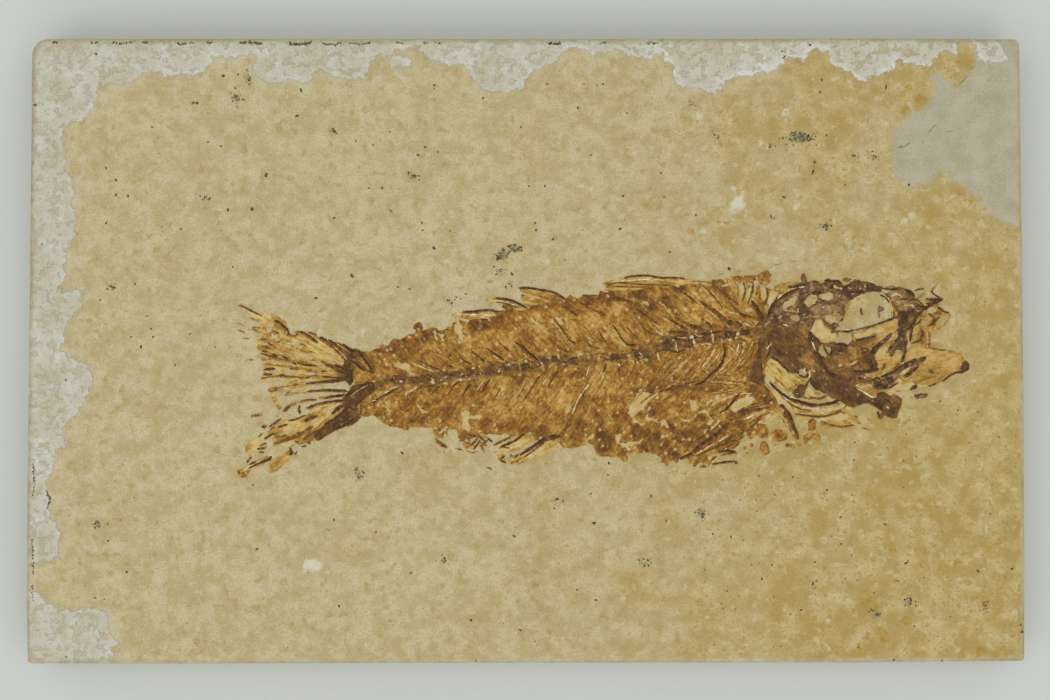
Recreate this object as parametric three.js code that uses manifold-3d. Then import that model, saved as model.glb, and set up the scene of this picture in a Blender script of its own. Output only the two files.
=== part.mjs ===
// A fossil fish in a sawn slab of pale limestone.
// Millimetres, +Z up. The slab lies on its back: the origin is the middle of its underside,
// +X runs towards the fish's head and +Y towards its back fins.

import * as THREE from "three";
import { mergeVertices } from "three/addons/utils/BufferGeometryUtils.js";
import Module from "manifold-3d";

const wasm = await Module();
wasm.setup();

// Driving dimensions.
const SLAB_LENGTH = 150; // mm, along X
const SLAB_THICKNESS = 12;
const EDGE_ROUND = 1.1; // the dulled saw edge
const EDGE_STEPS = [0, 0.34, 0.67, 1]; // shares of the quarter turn round an edge
const FACE = SLAB_THICKNESS; // height of the split face that the fish lies on
const SCALE_SKIN = 0.3; // thickness of the pressed skin of scales
const FIN_SKIN = 0.2; // thickness of the web between fin rays
const RAY = 0.45; // height of a fin ray over the split face
const BONE = 0.5; // height of a skull bone over the split face
const VERTEBRA = 0.5; // height of a vertebra over the scales
const SPINE = 0.25; // height of a spine or rib over the scales
const CRUST_DEPTH = 0.18; // the white edges, where the top skin of the stone has flaked away
const FLAKE_DEPTH = 0.22; // the grey corner, one thin layer lower
const SUNK = 0.05; // how far a ridge's foot goes into what carries it

// Outlines are traced on a grid with 1000 steps along the slab, u to the right and v down.
const STEP = SLAB_LENGTH / 1000;
const MIDDLE = { u: 525.6, v: 351.1 };
const place = ([u, v]) => new THREE.Vector2((u - MIDDLE.u) * STEP, (MIDDLE.v - v) * STEP);

const COLOUR = {
  stone: 0xbfae85,
  scales: 0xa06f31,
  bone: 0x5f4226,
  fin: 0xa67c3c,
  jaw: 0xa88541,
};

// The slab.
// Corner: the point where two sawn edges would meet, and the radius it is worn to.
const SLAB_CORNERS = [
  { at: [31, 37.9], radius: 20 },
  { at: [1020.3, 38.6], radius: 7 },
  { at: [1025.6, 661.8], radius: 5 },
  { at: [26.5, 664.2], radius: 5 },
];
const TOP_EDGE = [[200, 38.2], [560, 38.4], [860, 37.8]];
const RIGHT_EDGE = [[1022.2, 180], [1024.8, 400], [1025.6, 560]];
const BOTTOM_EDGE = [[840, 663.3], [500, 663.4], [180, 664.4]];
const LEFT_EDGE = [[25.6, 600], [26.3, 480], [28.4, 300], [30, 160]];
const TOP_CRUST = [
  [0, 20], [960, 20], [957, 54], [939, 58], [925, 68], [908, 64], [899, 62], [894, 71], [879, 76],
  [867, 78], [861, 85], [841, 74], [831, 54], [807, 54], [783, 62], [767, 71], [733, 80], [713, 92],
  [687, 90], [674, 74], [663, 55], [638, 56], [598, 54], [567, 49], [549, 68], [526, 80], [522, 89],
  [504, 89], [484, 83], [466, 62], [433, 62], [404, 50], [381, 48], [363, 78], [337, 78], [319, 70],
  [308, 83], [272, 86], [257, 67], [241, 54], [212, 54], [208, 67], [165, 77], [127, 87], [100, 85],
  [98, 98], [62, 127], [61, 147], [71, 179], [77, 233], [62, 251], [69, 291], [84, 300], [67, 318],
  [59, 347], [89, 358], [93, 387], [67, 418], [58, 456], [47, 486], [74, 508], [58, 533], [38, 562],
  [0, 562],
];
const LOW_CRUST = [
  [0, 600], [49, 600], [80, 611], [107, 607], [112, 633], [117, 642], [109, 680], [0, 680],
];
const GREY_CORNER = [
  [976, 30], [979, 60], [966, 76], [936, 72], [932, 100], [912, 116], [888, 153], [896, 176],
  [930, 170], [962, 184], [985, 210], [1000, 250], [1040, 260], [1040, 30],
];
// Pits in the face: place and radius in steps.
const PITS = [
  [500, 256, 7], [800, 137, 9], [874, 156, 4], [825, 226, 5], [359, 475, 5], [595, 524, 4],
  [644, 562, 5], [701, 513, 5], [909, 603, 5], [814, 583, 4], [372, 188, 3], [435, 86, 4],
  [195, 102, 3], [223, 76, 4], [235, 96, 5], [111, 287, 5], [416, 176, 4], [332, 132, 4],
  [565, 260, 3], [404, 454, 3], [593, 212, 3], [627, 113, 3], [312, 564, 8], [738, 201, 9],
];
const PIT_SIDES = 6;
const PIT_SLOPE = 0.35; // depth of a pit against its radius

// The fish. Outlines run round one bone or skin; a stroke is a line with a width at each end.
const FLANK = [
  [376, 352], [392, 341], [415, 334], [428, 328], [446, 329], [452, 322], [468, 325], [470, 320],
  [506, 315], [545, 309], [565, 304], [598, 299], [604, 296], [668, 291], [706, 285],
  [724, 280], [745, 277], [764, 272], [770, 280], [767, 288], [773, 294], [763, 308], [757, 318],
  [756, 340], [752, 350], [744, 360], [742, 382], [752, 390], [730, 408], [714, 424], [690, 440],
  [672, 452], [656, 454], [638, 454], [622, 460], [600, 455], [588, 443], [568, 446], [558, 436],
  [548, 434], [512, 430], [470, 428], [434, 427], [402, 428], [385, 424], [376, 412], [380, 392],
  [370, 376],
];
const RIBS = [
  [[723, 344], [726, 352], [720, 364], [708, 377], [692, 386], [661, 395]],
  [[744, 346], [736, 362], [722, 372], [700, 376]],
  [[690, 356], [680, 370], [664, 388], [640, 402]],
  [[672, 358], [662, 374], [648, 392], [630, 412]],
  [[655, 362], [642, 382], [626, 404], [612, 424]],
  [[590, 378], [582, 394], [570, 414], [560, 430]],
  [[606, 380], [598, 398], [586, 418], [578, 432]],
  [[735, 384], [706, 380], [682, 382]],
  [[738, 392], [716, 398], [690, 410], [666, 430]],
];
const BACKBONE_PATH = [
  [380, 383], [400, 380], [430, 377], [460, 373], [490, 369], [525, 365], [565, 360], [600, 357],
  [640, 352], [680, 344], [715, 336], [754, 333],
];
const VERTEBRA_COUNT = 36;
const VERTEBRA_WIDTH = { tail: 1.0, head: 1.9, waist: 0.7 }; // mm, and the share left at the waist
const UPPER_SPINES = [
  [[438, 371], [418, 359]], [[456, 368], [434, 355]], [[471, 365], [458, 355]],
  [[486, 363], [471, 350]], [[503, 361], [487, 347]], [[518, 359], [500, 341]],
  [[538, 359], [515, 339]], [[563, 353], [530, 322]], [[576, 352], [545, 311]],
  [[594, 350], [581, 332]], [[608, 349], [596, 326]], [[628, 347], [613, 324]],
  [[642, 344], [627, 326]], [[660, 338], [640, 324]], [[676, 336], [642, 318], [612, 299]],
  [[706, 332], [684, 324], [662, 315]], [[718, 331], [700, 320], [684, 302]],
  [[744, 326], [718, 316], [690, 297]], [[752, 325], [734, 312], [712, 294]],
];
const LOWER_SPINES = [
  [[410, 386], [400, 394]], [[424, 384], [408, 396]], [[440, 382], [430, 393]],
  [[458, 381], [447, 395]], [[471, 381], [461, 397]], [[491, 377], [480, 393]],
  [[503, 375], [493, 398]], [[514, 374], [507, 398]], [[526, 372], [518, 385]],
  [[541, 371], [528, 399]], [[557, 369], [549, 387]], [[572, 367], [567, 377]],
  [[590, 366], [584, 377]], [[606, 364], [601, 374]], [[622, 362], [618, 374]],
];
const TAIL_ROOT = [
  [353, 350], [363, 352], [368, 362], [366, 376], [372, 392], [368, 402], [362, 414], [350, 420],
  [316, 438], [314, 435], [334, 413], [343, 398], [345, 384], [342, 374], [346, 360],
];
const TAIL_UPPER_WEB = [
  [350, 352], [332, 341], [300, 332], [292, 336], [285, 322], [262, 313], [243, 306], [253, 322],
  [258, 344], [262, 358], [270, 366], [262, 378], [346, 379],
];
const TAIL_LOWER_WEB = [
  [350, 398], [318, 402], [300, 404], [284, 412], [270, 426], [250, 440], [245, 460], [238, 470],
  [243, 477], [272, 472], [292, 458], [300, 446], [320, 438], [350, 416],
];
const TAIL_RAYS = [
  [[352, 354], [335, 344], [300, 332]], [[350, 358], [320, 343], [288, 330], [262, 318]],
  [[350, 362], [300, 344], [258, 332]], [[348, 366], [300, 352], [258, 342]],
  [[347, 370], [300, 360], [262, 354]], [[347, 374], [310, 368], [268, 366]],
  [[347, 378], [305, 376], [263, 377]], [[347, 382], [310, 384], [286, 388]],
  [[347, 391], [312, 392], [288, 396]], [[347, 398], [322, 400], [296, 404]],
  [[348, 402], [314, 408], [284, 420]], [[350, 406], [316, 418], [272, 432]],
  [[350, 410], [314, 425], [256, 449]], [[350, 413], [313, 433], [250, 466]],
  [[350, 416], [318, 437], [282, 462]],
];
const REAR_DORSAL_WEB = [
  [453, 314], [470, 311], [498, 310], [487, 298], [508, 297], [532, 303], [519, 287], [540, 288],
  [566, 297], [562, 301], [545, 306], [505, 312], [472, 317], [455, 317],
];
const REAR_DORSAL_RAYS = [
  [[502, 312], [476, 312], [453, 316]], [[528, 306], [508, 299], [487, 298]],
  [[524, 308], [500, 302], [488, 301]], [[564, 299], [545, 290], [519, 287]],
  [[560, 302], [540, 296], [521, 294]],
];
const FRONT_DORSAL_WEB = [
  [700, 283], [690, 280], [660, 277], [632, 277], [624, 279], [605, 283], [601, 290], [604, 293],
  [640, 289], [670, 286],
];
const FRONT_DORSAL_RAYS = [
  [[698, 282], [660, 277], [624, 279]], [[694, 284], [650, 283], [605, 284]],
  [[672, 287], [640, 287], [606, 291]],
];
const ANAL_WEB = [
  [554, 440], [546, 437], [512, 434], [472, 431], [460, 440], [470, 448], [490, 448], [496, 458],
  [512, 460], [530, 453], [556, 444],
];
const ANAL_RAYS = [
  [[553, 442], [536, 449], [514, 459]], [[548, 439], [530, 448], [503, 460]],
  [[530, 437], [510, 445], [492, 449]], [[512, 437], [498, 444], [484, 452]],
  [[490, 436], [474, 442], [462, 447]],
];
const PELVIC_WEB = [
  [742, 421], [724, 424], [706, 438], [690, 446], [678, 458], [690, 464], [706, 466], [736, 460],
  [735, 453], [742, 436],
];
const PELVIC_RAYS = [
  [[740, 424], [716, 432], [694, 446]], [[740, 430], [712, 440], [684, 456]],
  [[740, 434], [712, 444], [690, 460]], [[736, 452], [716, 453], [694, 450]],
  [[737, 460], [724, 462], [700, 465]],
];
const PECTORAL_WEB = [
  [774, 404], [764, 402], [748, 408], [730, 417], [748, 419], [747, 430], [764, 424], [784, 428],
  [797, 440], [798, 432], [786, 418], [780, 406],
];
const PECTORAL_RAYS = [
  [[774, 406], [754, 410], [731, 418]], [[772, 409], [758, 418], [748, 430]],
  [[777, 407], [785, 419], [797, 438]],
];
const SKULL = [
  [772, 313], [777, 303], [788, 293], [799, 285], [824, 281], [842, 284], [858, 280], [880, 287],
  [900, 289], [914, 294], [922, 301], [915, 309], [910, 319], [906, 331], [904, 341], [899, 347],
  [894, 350], [888, 353], [884, 344], [875, 351], [866, 346], [848, 343], [833, 342], [816, 338],
  [814, 321], [800, 318], [780, 326],
];
const EYE = { at: [869, 312], wide: 23.5, high: 17.5, turn: 0.1 };
const EYE_SIDES = 20;
const SKULL_WINDOW = [[783, 309], [796, 297], [799, 300], [790, 312]];
const GILL_COVER = [
  [775, 331], [798, 322], [811, 326], [813, 341], [831, 346], [862, 349], [878, 362], [876, 370],
  [868, 380], [878, 391], [901, 399], [900, 411], [892, 419], [878, 414], [868, 404], [852, 408],
  [836, 400], [818, 399], [800, 400], [784, 390], [768, 380], [767, 366], [777, 352],
];
const GILL_WINDOW = [[774, 364], [790, 372], [804, 380], [800, 394], [784, 386], [770, 376]];
const SHOULDER = [
  [773, 334], [764, 320], [762, 336], [766, 346], [758, 356], [748, 364], [746, 378], [754, 388],
  [764, 392], [765, 384], [764, 366], [773, 350],
];
const UPPER_JAW = [
  [927, 302], [940, 299], [949, 314], [936, 323], [922, 326], [914, 340], [910, 350], [904, 360],
  [900, 357], [905, 347], [908, 339], [910, 329], [914, 318], [919, 309],
];
const UPPER_JAW_RIDGE = [[940, 301], [925, 310], [915, 326], [910, 341], [903, 357]];
const LOWER_JAW = [
  [916, 351], [928, 349], [940, 350], [956, 354], [969, 364], [962, 372], [942, 381], [916, 386],
  [894, 391], [884, 388], [878, 383], [884, 374], [903, 365], [911, 356],
];
const LOWER_JAW_RIDGES = [
  [[884, 382], [900, 373], [926, 356]], [[942, 379], [952, 373], [965, 366]],
];
const GILL_RAY_SKIN = [
  [772, 387], [784, 396], [800, 404], [820, 404], [838, 404], [850, 412], [858, 425], [836, 428],
  [812, 418], [790, 410], [776, 398],
];
const GILL_RAYS = [
  [[772, 388], [786, 397], [806, 406], [836, 405]], [[792, 411], [820, 415], [848, 410]],
  [[818, 419], [836, 425], [856, 424]],
];

// The closed surface as a solid, for joining and cutting.
function solidOf(geometry) {
  const bare = geometry.clone();
  bare.deleteAttribute("normal");
  bare.deleteAttribute("uv");
  const merged = mergeVertices(bare, 1e-4);
  return new wasm.Manifold(
    new wasm.Mesh({
      numProp: 3,
      vertProperties: merged.attributes.position.array,
      triVerts: new Uint32Array(merged.index.array),
    }),
  );
}

function geometryOf(solid) {
  const { numProp, vertProperties, triVerts } = solid.getMesh();
  const points = [];
  for (let i = 0; i < vertProperties.length; i += numProp)
    points.push(vertProperties[i], vertProperties[i + 1], vertProperties[i + 2]);
  const geometry = new THREE.BufferGeometry();
  geometry.setAttribute("position", new THREE.Float32BufferAttribute(points, 3));
  geometry.setIndex([...triVerts]);
  const flat = geometry.toNonIndexed();
  flat.computeVertexNormals();
  return flat;
}

const joined = (solids) => solids.reduce((whole, piece) => whole.add(piece));

// A flat plate with the traced outline, between two heights.
function plate(outline, low, high) {
  const shape = new THREE.Shape(outline.map(place));
  const slice = new THREE.ExtrudeGeometry(shape, { depth: high - low, bevelEnabled: false });
  return solidOf(slice.translate(0, 0, low));
}

// A ridge of triangular section along a traced line, thinning from its first point to its last.
function ridge(line, low, high, { width = 0.4, tip = 0.4 } = {}) {
  const path = line.map(place);
  const points = [];
  path.forEach((point, i) => {
    const ahead = path[Math.min(i + 1, path.length - 1)];
    const behind = path[Math.max(i - 1, 0)];
    const along = ahead.clone().sub(behind).normalize();
    const across = new THREE.Vector2(-along.y, along.x);
    const share = i / (path.length - 1);
    const half = (width / 2) * (1 - share * (1 - tip));
    const top = low + (high - low) * (1 - share * (1 - tip));
    const left = point.clone().addScaledVector(across, half);
    const right = point.clone().addScaledVector(across, -half);
    points.push(left.x, left.y, low, right.x, right.y, low, point.x, point.y, top);
  });
  const faces = [0, 1, 2];
  for (let i = 0; i < path.length - 1; i++) {
    const [a, b] = [3 * i, 3 * (i + 1)];
    for (const [s, t] of [[0, 2], [2, 1], [1, 0]])
      faces.push(a + s, a + t, b + t, a + s, b + t, b + s);
  }
  const last = 3 * (path.length - 1);
  faces.push(last, last + 2, last + 1);
  const geometry = new THREE.BufferGeometry();
  geometry.setAttribute("position", new THREE.Float32BufferAttribute(points, 3));
  geometry.setIndex(faces);
  return solidOf(geometry);
}

// A web of skin with its rays standing on it.
function fin(web, rays, size) {
  const skin = plate(web, FACE, FACE + FIN_SKIN);
  return joined([skin, ...rays.map((ray) => ridge(ray, FACE + FIN_SKIN - SUNK, FACE + RAY, size))]);
}

// The sawn outline: straight runs between worn corners.
function slabShape() {
  const corners = SLAB_CORNERS.map(({ at, radius }) => ({ at: place(at), radius: radius * STEP }));
  const edges = [TOP_EDGE, RIGHT_EDGE, BOTTOM_EDGE, LEFT_EDGE].map((edge) => edge.map(place));
  const outline = new THREE.Path();
  corners.forEach(({ at, radius }, i) => {
    const before = edges[(i + 3) % 4].at(-1).clone().sub(at).setLength(radius).add(at);
    const after = edges[i][0].clone().sub(at).setLength(radius).add(at);
    if (i === 0) outline.moveTo(before.x, before.y);
    else outline.lineTo(before.x, before.y);
    outline.quadraticCurveTo(at.x, at.y, after.x, after.y);
    edges[i].forEach((point) => outline.lineTo(point.x, point.y));
  });
  return new THREE.Shape(outline.getPoints(4));
}

function pit([u, v, radius]) {
  const wide = radius * STEP;
  const deep = wide * PIT_SLOPE;
  const cone = new THREE.ConeGeometry(2 * wide, 4 * deep, PIT_SIDES).rotateX(-Math.PI / 2);
  const { x, y } = place([u, v]);
  return solidOf(cone.translate(x, y, FACE + deep));
}

// The block is a stack of outlines, drawn in towards the middle where its edges are rounded.
function block() {
  const outline = slabShape().extractPoints(4).shape;
  const round = EDGE_STEPS.map((share) => {
    const turn = (share * Math.PI) / 2;
    return { inset: EDGE_ROUND * (1 - Math.sin(turn)), rise: EDGE_ROUND * (1 - Math.cos(turn)) };
  });
  const under = round.map(({ inset, rise }) => ({ inset, height: rise }));
  const over = round.map(({ inset, rise }) => ({ inset, height: SLAB_THICKNESS - rise }));
  const rings = [...under, ...over.reverse()];
  const half = new THREE.Box2().setFromPoints(outline).getSize(new THREE.Vector2()).divideScalar(2);
  const points = rings.flatMap(({ inset, height }) =>
    outline.flatMap(({ x, y }) => [x * (1 - inset / half.x), y * (1 - inset / half.y), height]),
  );
  const count = outline.length;
  const lid = THREE.ShapeUtils.triangulateShape(outline, []);
  const turned = THREE.ShapeUtils.isClockWise(outline) ? -1 : 1;
  const faces = lid.flatMap(([a, b, c]) => [a, c, b]);
  for (let ring = 0; ring < rings.length - 1; ring++)
    for (let i = 0; i < count; i++) {
      const [a, b] = [ring * count + i, ring * count + ((i + 1) % count)];
      if (turned > 0) faces.push(a, b, b + count, a, b + count, a + count);
      else faces.push(a, b + count, b, a, a + count, b + count);
    }
  const top = (rings.length - 1) * count;
  faces.push(...lid.flatMap(([a, b, c]) => [top + a, top + b, top + c]));
  const geometry = new THREE.BufferGeometry();
  geometry.setAttribute("position", new THREE.Float32BufferAttribute(points, 3));
  geometry.setIndex(faces);
  return solidOf(geometry);
}

function slab() {
  const above = FACE + 1;
  const lowered = joined([
    plate(TOP_CRUST, FACE - CRUST_DEPTH, above),
    plate(LOW_CRUST, FACE - CRUST_DEPTH, above),
    plate(GREY_CORNER, FACE - FLAKE_DEPTH, above),
    ...PITS.map(pit),
  ]);
  return block().subtract(lowered);
}

function flankScales() {
  const skin = plate(FLANK, FACE, FACE + SCALE_SKIN);
  const low = FACE + SCALE_SKIN - SUNK;
  const size = { width: 0.36, tip: 0.5 };
  return joined([skin, ...RIBS.map((rib) => ridge(rib, low, FACE + SCALE_SKIN + SPINE, size))]);
}

// The vertebrae are one bar with a waist in the middle of each vertebra.
function backbone() {
  const path = new THREE.CatmullRomCurve3(
    BACKBONE_PATH.map((point) => new THREE.Vector3(...place(point), 0)),
  );
  const low = FACE + SCALE_SKIN;
  const stations = 2 * VERTEBRA_COUNT;
  const points = [];
  for (let i = 0; i <= stations; i++) {
    const share = i / stations;
    const waist = i % 2 ? VERTEBRA_WIDTH.waist : 1;
    const wide = THREE.MathUtils.lerp(VERTEBRA_WIDTH.tail, VERTEBRA_WIDTH.head, share) * waist;
    const top = low + VERTEBRA * (0.6 + 0.4 * share) * waist;
    const middle = path.getPointAt(share);
    const along = path.getTangentAt(share);
    const across = new THREE.Vector2(-along.y, along.x);
    for (const [side, height] of [[0.5, low], [-0.5, low], [-0.25, top], [0.25, top]])
      points.push(middle.x + across.x * wide * side, middle.y + across.y * wide * side, height);
  }
  const faces = [0, 1, 2, 0, 2, 3];
  for (let i = 0; i < stations; i++) {
    const [a, b] = [4 * i, 4 * (i + 1)];
    for (const [s, t] of [[0, 3], [3, 2], [2, 1], [1, 0]])
      faces.push(a + s, a + t, b + t, a + s, b + t, b + s);
  }
  const last = 4 * stations;
  faces.push(last, last + 2, last + 1, last, last + 3, last + 2);
  const bar = new THREE.BufferGeometry();
  bar.setAttribute("position", new THREE.Float32BufferAttribute(points, 3));
  bar.setIndex(faces);
  const size = { width: 0.32, tip: 0.5 };
  const spines = [...UPPER_SPINES, ...LOWER_SPINES];
  const high = FACE + SCALE_SKIN + SPINE;
  // Each spine starts on the middle line of the bar, so that it grows from a vertebra.
  const rooted = spines.map(([foot, ...rest]) => {
    const line = path.getPoints(240).map((p) => [p.x / STEP + MIDDLE.u, MIDDLE.v - p.y / STEP]);
    const gap = ([u, v]) => Math.hypot(u - foot[0], v - foot[1]);
    return [line.reduce((best, point) => (gap(point) < gap(best) ? point : best)), foot, ...rest];
  });
  return joined([solidOf(bar), ...rooted.map((spine) => ridge(spine, low, high, size))]);
}

function tailFin() {
  const web = joined([
    plate(TAIL_UPPER_WEB, FACE, FACE + FIN_SKIN),
    plate(TAIL_LOWER_WEB, FACE, FACE + FIN_SKIN),
    plate(TAIL_ROOT, FACE, FACE + RAY),
  ]);
  const low = FACE;
  const size = { width: 0.42, tip: 0.55 };
  return joined([web, ...TAIL_RAYS.map((ray) => ridge(ray, low, FACE + RAY + SUNK, size))]);
}

function skull() {
  const eye = place(EYE.at);
  const ring = new THREE.Shape().absellipse(
    eye.x, eye.y, EYE.wide * STEP, EYE.high * STEP, 0, 2 * Math.PI, false, EYE.turn,
  );
  const socket = new THREE.Shape(ring.getSpacedPoints(EYE_SIDES).slice(0, EYE_SIDES));
  const hole = new THREE.ExtrudeGeometry(socket, { depth: BONE, bevelEnabled: false });
  return plate(SKULL, FACE, FACE + BONE)
    .subtract(solidOf(hole.translate(0, 0, FACE + FIN_SKIN)))
    .subtract(plate(SKULL_WINDOW, FACE + FIN_SKIN, FACE + 2 * BONE));
}

function gillCover() {
  const window = plate(GILL_WINDOW, FACE + FIN_SKIN, FACE + 2 * BONE);
  return plate(GILL_COVER, FACE, FACE + BONE).subtract(window);
}

function shoulderBone() {
  return plate(SHOULDER, FACE, FACE + BONE);
}

function upperJaw() {
  const low = FACE + FIN_SKIN - SUNK;
  const bone = ridge(UPPER_JAW_RIDGE, low, FACE + BONE, { width: 0.5, tip: 0.7 });
  return joined([plate(UPPER_JAW, FACE, FACE + FIN_SKIN), bone]);
}

function lowerJaw() {
  const size = { width: 0.9, tip: 0.7 };
  const low = FACE + FIN_SKIN - SUNK;
  const ridges = LOWER_JAW_RIDGES.map((bone) => ridge(bone, low, FACE + BONE, size));
  return joined([plate(LOWER_JAW, FACE, FACE + FIN_SKIN), ...ridges]);
}

const group = new THREE.Group();

function add(name, solid, colour, roughness) {
  const material = new THREE.MeshStandardMaterial({ color: colour, roughness, metalness: 0 });
  const mesh = new THREE.Mesh(geometryOf(solid), material);
  mesh.name = name;
  group.add(mesh);
}

add("slab", slab(), COLOUR.stone, 0.9);
add("flank_scales", flankScales(), COLOUR.scales, 0.6);
add("backbone", backbone(), COLOUR.bone, 0.55);
add("tail_fin", tailFin(), COLOUR.fin, 0.6);
add("rear_dorsal_fin", fin(REAR_DORSAL_WEB, REAR_DORSAL_RAYS), COLOUR.fin, 0.6);
add("front_dorsal_fin", fin(FRONT_DORSAL_WEB, FRONT_DORSAL_RAYS), COLOUR.fin, 0.6);
add("anal_fin", fin(ANAL_WEB, ANAL_RAYS), COLOUR.fin, 0.6);
add("pelvic_fin", fin(PELVIC_WEB, PELVIC_RAYS), COLOUR.fin, 0.6);
add("pectoral_fin", fin(PECTORAL_WEB, PECTORAL_RAYS), COLOUR.fin, 0.6);
add("skull", skull(), COLOUR.bone, 0.55);
add("gill_cover", gillCover(), COLOUR.bone, 0.55);
add("shoulder_bone", shoulderBone(), COLOUR.bone, 0.55);
add("upper_jaw", upperJaw(), COLOUR.bone, 0.55);
add("lower_jaw", lowerJaw(), COLOUR.jaw, 0.55);
add("gill_rays", fin(GILL_RAY_SKIN, GILL_RAYS), COLOUR.fin, 0.6);

export default group;
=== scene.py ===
# %% [markdown]
# # A fossil fish in a slab of limestone
#
# The real object is one stone: a sawn slab of fine buff limestone, split so that a small fish,
# about 11 cm long, lies open on its upper face. The fish is pressed flat. Its skin of scales, its
# fins and its bones are now thin brown mineral, a fraction of a millimetre proud of the stone.
#
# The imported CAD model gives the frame: where the slab is, and where each bone lies. This script
# makes the looks around it, one kind of piece after another.

import math

import bmesh
import bpy
import numpy as np
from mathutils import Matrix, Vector


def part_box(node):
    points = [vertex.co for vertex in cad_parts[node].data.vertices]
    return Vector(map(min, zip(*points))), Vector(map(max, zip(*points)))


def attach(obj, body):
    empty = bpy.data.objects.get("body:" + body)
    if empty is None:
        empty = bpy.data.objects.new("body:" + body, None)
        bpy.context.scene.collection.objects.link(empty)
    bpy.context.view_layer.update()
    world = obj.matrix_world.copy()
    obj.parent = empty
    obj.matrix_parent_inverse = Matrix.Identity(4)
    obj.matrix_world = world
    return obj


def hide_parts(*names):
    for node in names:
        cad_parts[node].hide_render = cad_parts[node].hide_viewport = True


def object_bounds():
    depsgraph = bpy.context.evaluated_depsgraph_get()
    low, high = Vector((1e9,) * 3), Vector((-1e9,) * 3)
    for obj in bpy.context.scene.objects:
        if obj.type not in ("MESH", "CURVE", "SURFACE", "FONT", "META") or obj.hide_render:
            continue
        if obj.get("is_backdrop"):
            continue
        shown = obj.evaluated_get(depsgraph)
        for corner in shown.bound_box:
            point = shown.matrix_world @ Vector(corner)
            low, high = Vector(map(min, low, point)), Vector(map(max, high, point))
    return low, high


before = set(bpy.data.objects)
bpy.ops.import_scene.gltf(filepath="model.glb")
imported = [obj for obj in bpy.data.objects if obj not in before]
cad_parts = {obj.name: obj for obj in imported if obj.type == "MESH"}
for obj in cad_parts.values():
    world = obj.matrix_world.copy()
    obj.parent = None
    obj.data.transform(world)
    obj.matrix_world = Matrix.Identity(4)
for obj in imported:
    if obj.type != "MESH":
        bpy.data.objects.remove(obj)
cad_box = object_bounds()
print("nodes", sorted(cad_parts))
print("CAD box", cad_box)

# %% [markdown]
# ## A drawing grid
#
# Outlines are traced on a grid of steps, u to the right and v down, as one traces a picture on
# squared paper. One step is 0.15 mm on the stone. A table of points is kept as plain text, because
# that is short and easy to change. A row says a kind and a width and then the points, and lines of
# one kind and width may share a row, with a semicolon between them.

# %% From drawing steps to metres
MM = 0.001
STEP = 0.15 * MM
MIDDLE = np.array([525.6, 351.1])
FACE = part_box("slab")[1][2]


def to_stone(at):
    """Metres along and across the slab, for places in steps."""
    return (at - MIDDLE) * (STEP, -STEP)


def to_steps(x, y):
    return np.stack([x / STEP + MIDDLE[0], MIDDLE[1] - y / STEP], axis=1)


def trace(words):
    return np.array([[float(number) for number in pair.split(",")] for pair in words])


def shapes(table):
    """Rows such as 'line 3>1 10,10 20,12; 5,8 9,8', 'patch 1,1 5,1 3,4' or 'dots 2 7,7 9,3'."""
    found = []
    for row in table.strip().splitlines():
        kind, *words = row.split()
        sizes = [0.0, 0.0]
        if kind not in ("patch", "hole"):
            ends = [float(size) for size in words.pop(0).split(">")]
            sizes = [ends[0], ends[-1]]
        found += [(kind, sizes, trace(points.split())) for points in " ".join(words).split(";")]
    return found


print("split face at", round(FACE / MM, 2), "mm")

# %% [markdown]
# ## Distance, the one measure behind every outline
#
# A distance that is negative inside a shape and positive outside it does three jobs here. It cuts
# a sheet to its outline, it gives the sheet a rounded rim, and kept on the mesh as an attribute it
# lets the material draw a crisp edge between two mesh points.

# %% Measure distances
REACH = 30.0
FAR = 1e3
LATTICE = 256


def line_distance(at, line):
    """Distance to the nearest point of a line, and how far along the line that is, 0 to 1."""
    nearest = np.full(len(at), np.inf)
    along = np.zeros(len(at))
    runs = np.hypot(*np.diff(line, axis=0).T)
    starts = np.concatenate([[0.0], np.cumsum(runs)])
    for i in range(len(line) - 1):
        run = line[i + 1] - line[i]
        share = np.clip((at - line[i]) @ run / max(run @ run, 1e-9), 0, 1)
        gap = np.hypot(*(at - line[i] - share[:, None] * run).T)
        better = gap < nearest
        nearest[better] = gap[better]
        along[better] = (starts[i] + share * runs[i])[better]
    return nearest, along / max(starts[-1], 1e-9)


def inside(at, outline):
    """Which places a closed outline goes round, by counting the sides to their right."""
    odd = np.zeros(len(at), bool)
    for (au, av), (bu, bv) in zip(outline, np.roll(outline, -1, axis=0)):
        if av == bv:
            continue
        crossing = au + (at[:, 1] - av) * (bu - au) / (bv - av)
        odd ^= ((av > at[:, 1]) != (bv > at[:, 1])) & (at[:, 0] < crossing)
    return odd


def smooth(points, gap=2.5):
    """A curve through the traced points, with one point about every gap."""
    p = np.vstack([2 * points[0] - points[1], points, 2 * points[-1] - points[-2]])
    curve = []
    for a, b, c, d in zip(p, p[1:], p[2:], p[3:]):
        count = max(1, round(np.hypot(*(c - b)) / gap))
        t = np.arange(count)[:, None] / count
        bend = (2 * a - 5 * b + 4 * c - d) * t**2 + (3 * b - a - 3 * c + d) * t**3
        curve.append(0.5 * (2 * b + (c - a) * t + bend))
    return np.vstack([*curve, points[-1:]])


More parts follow.
